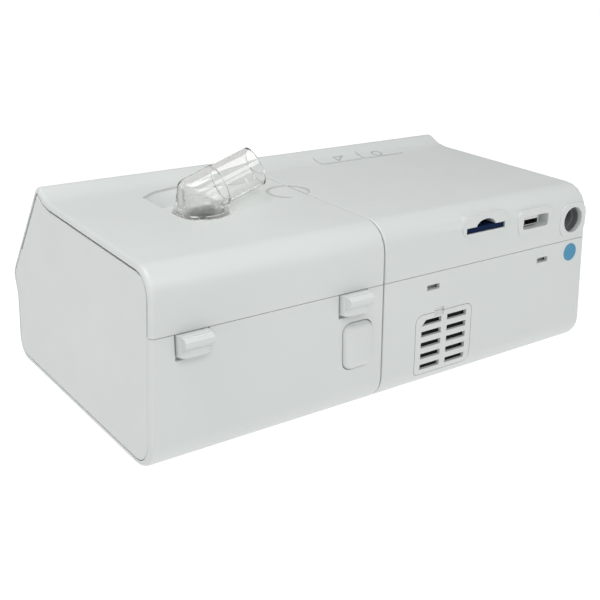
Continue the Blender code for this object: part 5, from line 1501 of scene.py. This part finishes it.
def add_lights():
    """Soft boxes, and an even sky that the camera sees as white."""
    stage = stage_values()
    world = bpy.data.worlds.new("Studio")
    world.use_nodes = True
    tree = world.node_tree
    rays = tree.nodes.new("ShaderNodeLightPath").outputs
    seen = add_math(tree, "MULTIPLY_ADD", rays["Is Camera Ray"], 1 - stage.sky, stage.sky)
    glow = add_math(tree, "MULTIPLY_ADD", rays["Is Transmission Ray"], CLEAR_GLOW, seen)
    set_inputs(tree, tree.nodes["Background"], Color=(1, 1, 1), Strength=glow)
    bpy.context.scene.world = world
    for name, (setting, size, place) in SOFT_BOXES.items():
        soft = bpy.data.lights.new(name, "AREA")
        soft.shape = "RECTANGLE"
        soft.size, soft.size_y = size
        soft.energy = getattr(stage, setting)
        box = add_object(name, soft)
        box.location = place
        turn = (Vector(LAMP_AIM) - box.location).to_track_quat("-Z", "Y")
        box.rotation_euler = turn.to_euler()


def add_camera():
    stage = stage_values()
    level = math.cos(stage.elevation)
    back = Vector((
        math.sin(stage.azimuth) * level,
        -math.cos(stage.azimuth) * level,
        math.sin(stage.elevation),
    ))
    lens = bpy.data.cameras.new("Camera")
    lens.lens = stage.lens
    lens.sensor_width = 36.0
    camera = add_object("Camera", lens)
    camera.location = Vector(stage.aim) + back * stage.distance
    camera.rotation_euler = (-back).to_track_quat("-Z", "Y").to_euler()
    bpy.context.scene.camera = camera


# Panel and registration


OPERATORS = (
    CPAP_OT_housings,
    CPAP_OT_clear_parts,
    CPAP_OT_small_parts,
    CPAP_OT_elbow,
    CPAP_OT_channel,
    CPAP_OT_power_sleeve,
    CPAP_OT_foam,
    CPAP_OT_key_lips,
    CPAP_OT_key_marks,
    CPAP_OT_sticker,
    CPAP_OT_slot_backs,
    CPAP_OT_data_contacts,
    CPAP_OT_knob_index,
    CPAP_OT_screws,
    CPAP_OT_level_marks,
    CPAP_OT_board_parts,
    CPAP_OT_stage,
)
SETTINGS = {
    "cpap_finish": FinishSettings,
    "cpap_marks": MarkSettings,
    "cpap_fittings": FittingSettings,
    "cpap_elbow": ElbowSettings,
    "cpap_stage": StageSettings,
}


class CPAP_PT_looks(bpy.types.Panel):
    """Lists the machine's settings and the steps that make its looks"""

    bl_idname = "CPAP_PT_looks"
    bl_label = "CPAP machine"
    bl_space_type = "VIEW_3D"
    bl_region_type = "UI"
    bl_category = "CPAP"

    def draw(self, context):
        for attribute in SETTINGS:
            box = self.layout.box()
            group = getattr(context.scene, attribute)
            for label in group.bl_rna.properties.keys():
                if label not in ("rna_type", "name"):
                    box.prop(group, label)
        for operator in OPERATORS:
            self.layout.operator(operator.bl_idname)


def register():
    for settings in SETTINGS.values():
        bpy.utils.register_class(settings)
    for operator in OPERATORS:
        bpy.utils.register_class(operator)
    bpy.utils.register_class(CPAP_PT_looks)
    for attribute, settings in SETTINGS.items():
        setattr(bpy.types.Scene, attribute, PointerProperty(type=settings))


def unregister():
    for attribute in SETTINGS:
        delattr(bpy.types.Scene, attribute)
    bpy.utils.unregister_class(CPAP_PT_looks)
    for operator in reversed(OPERATORS):
        bpy.utils.unregister_class(operator)
    for settings in reversed(SETTINGS.values()):
        bpy.utils.unregister_class(settings)


def main():
    register()
    for operator in OPERATORS:
        group, step = operator.bl_idname.split(".")
        getattr(getattr(bpy.ops, group), step)()


if __name__ == "__main__":
    main()
